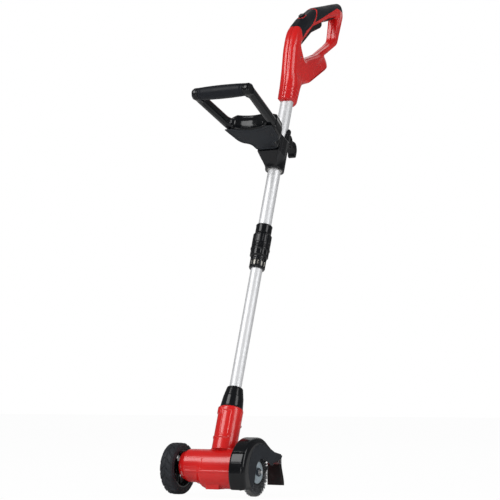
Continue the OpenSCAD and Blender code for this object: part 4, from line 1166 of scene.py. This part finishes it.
grown("rim", rim, (-117, -41, 11), (-85, 41, 93), 0.85, standing, "wheel", *GLOSSY, ["wheel_rim"])
tread_rubber, w, feed = new_finish("tyre rubber", IOR=1.5, Specular_IOR_Level=0.35)
grime = w.grain(110.0, 6.0, 0.7).between(0.45, 0.72)
pore = w.grain(1400.0, 2.0)
feed(Base_Color=w.blend(w.wear() * 0.5 + 0.5 * grime, (0.009, 0.011, 0.015, 1), (0.035, 0.039, 0.048, 1)),
     Roughness=0.55 + 0.2 * grime + 0.06 * pore, Normal=w.bump(pore, 0.00007, 0.7))


def tread(x, y, z):
    r, turn = wheel_polar(y, z)
    u = x - WHEEL_MIDDLE
    wall = 52 - 0.35 * smooth(np.abs(u), 4, 9) - 2.6 * smooth(np.abs(u), 9.5, 14) ** 1.5
    wave = turn * 18 / (2 * np.pi) + np.abs(u) * 0.06 + 0.25 * (u > 0)
    slot = band(wave - np.round(wave), 0, 0.07, 0.08)
    wall = wall - 1.5 * slot * smooth(np.abs(u), 1.6, 3.0) - 1.0 * band(u, 0, 0.6, 1.2)
    wall = wall - 0.7 * band(np.abs(u), 13.2, 0.4, 0.5)
    f = meet(r - wall, 39.02 - r, np.abs(u) - 13.9)
    return f + 0.5 * band(r, 44.5, 0.5, 0.5) * smooth(np.abs(u), 13.0, 13.6)


grown("tread", tread, (-117, -54, -2), (-87, 54, 106), 0.85, standing, "wheel", tread_rubber, "tread",
      ["tyre"])


def cap(x, y, z):
    r = wheel_polar(y, z)[0]
    top = -116 + 0.55 * smooth(r, 8.2, 11)
    f = meet(r - 10.95, top - x, x + 115.05)
    return f + 0.35 * band(r, 7.2, 0.35, 0.4) * (x < -115.5)


grown("hub_cap", cap, (-118, -13, 39), (-114, 13, 65), 0.4, standing, "wheel", *GLOSSY, ["wheel_cap"])

# ---------------------------------------------------------------- inner works
# The parts that only show through a gap keep the shapes of the fixed frame:
# motor, gears, bearings, leads, bushes, switch, contacts and small steel parts.
nylon, w, feed = new_finish("natural nylon", IOR=1.53)
cloud = w.grain(60.0, 4.0).between(0.35, 0.7)
feed(Base_Color=w.blend(cloud, (0.66, 0.64, 0.58, 1), (0.5, 0.47, 0.4, 1)), Roughness=0.4 + 0.15 * cloud,
     Normal=w.bump(w.grain(800.0), 0.00003, 0.5))
copper = plated("copper", (0.72, 0.38, 0.2, 1), 0.3)
ground_steel = plated("ground steel", (0.52, 0.53, 0.55, 1), 0.3)
cast_metal = plated("cast housing", (0.34, 0.35, 0.37, 1), 0.5)
lead_skin = soft_rubber("lead sheath", (0.012, 0.012, 0.013, 1), (0.08, 0.08, 0.08, 1))
INNER = {"fastener": zinc, "machine_steel": ground_steel, "winding": copper, "housing": cast_metal,
         "pale_plastic": nylon, "dark_matte": matte_plastic, "lead": lead_skin, "nut_steel": black_metal,
         "black_gloss": black_plastic, "red_shell": red_plastic, "soft_grip": grip_rubber, "tube": tube_metal,
         "flange_steel": flange_metal, "brush_wire": wire_metal, "flap_rubber": sheet_rubber,
         "tread": tread_rubber}
for part in frame["record"]["subparts"]:
    kept = frame["nodes"][part["node"]]
    kept.data.materials.clear()
    kept.data.materials.append(INNER[part["material_slot"]])
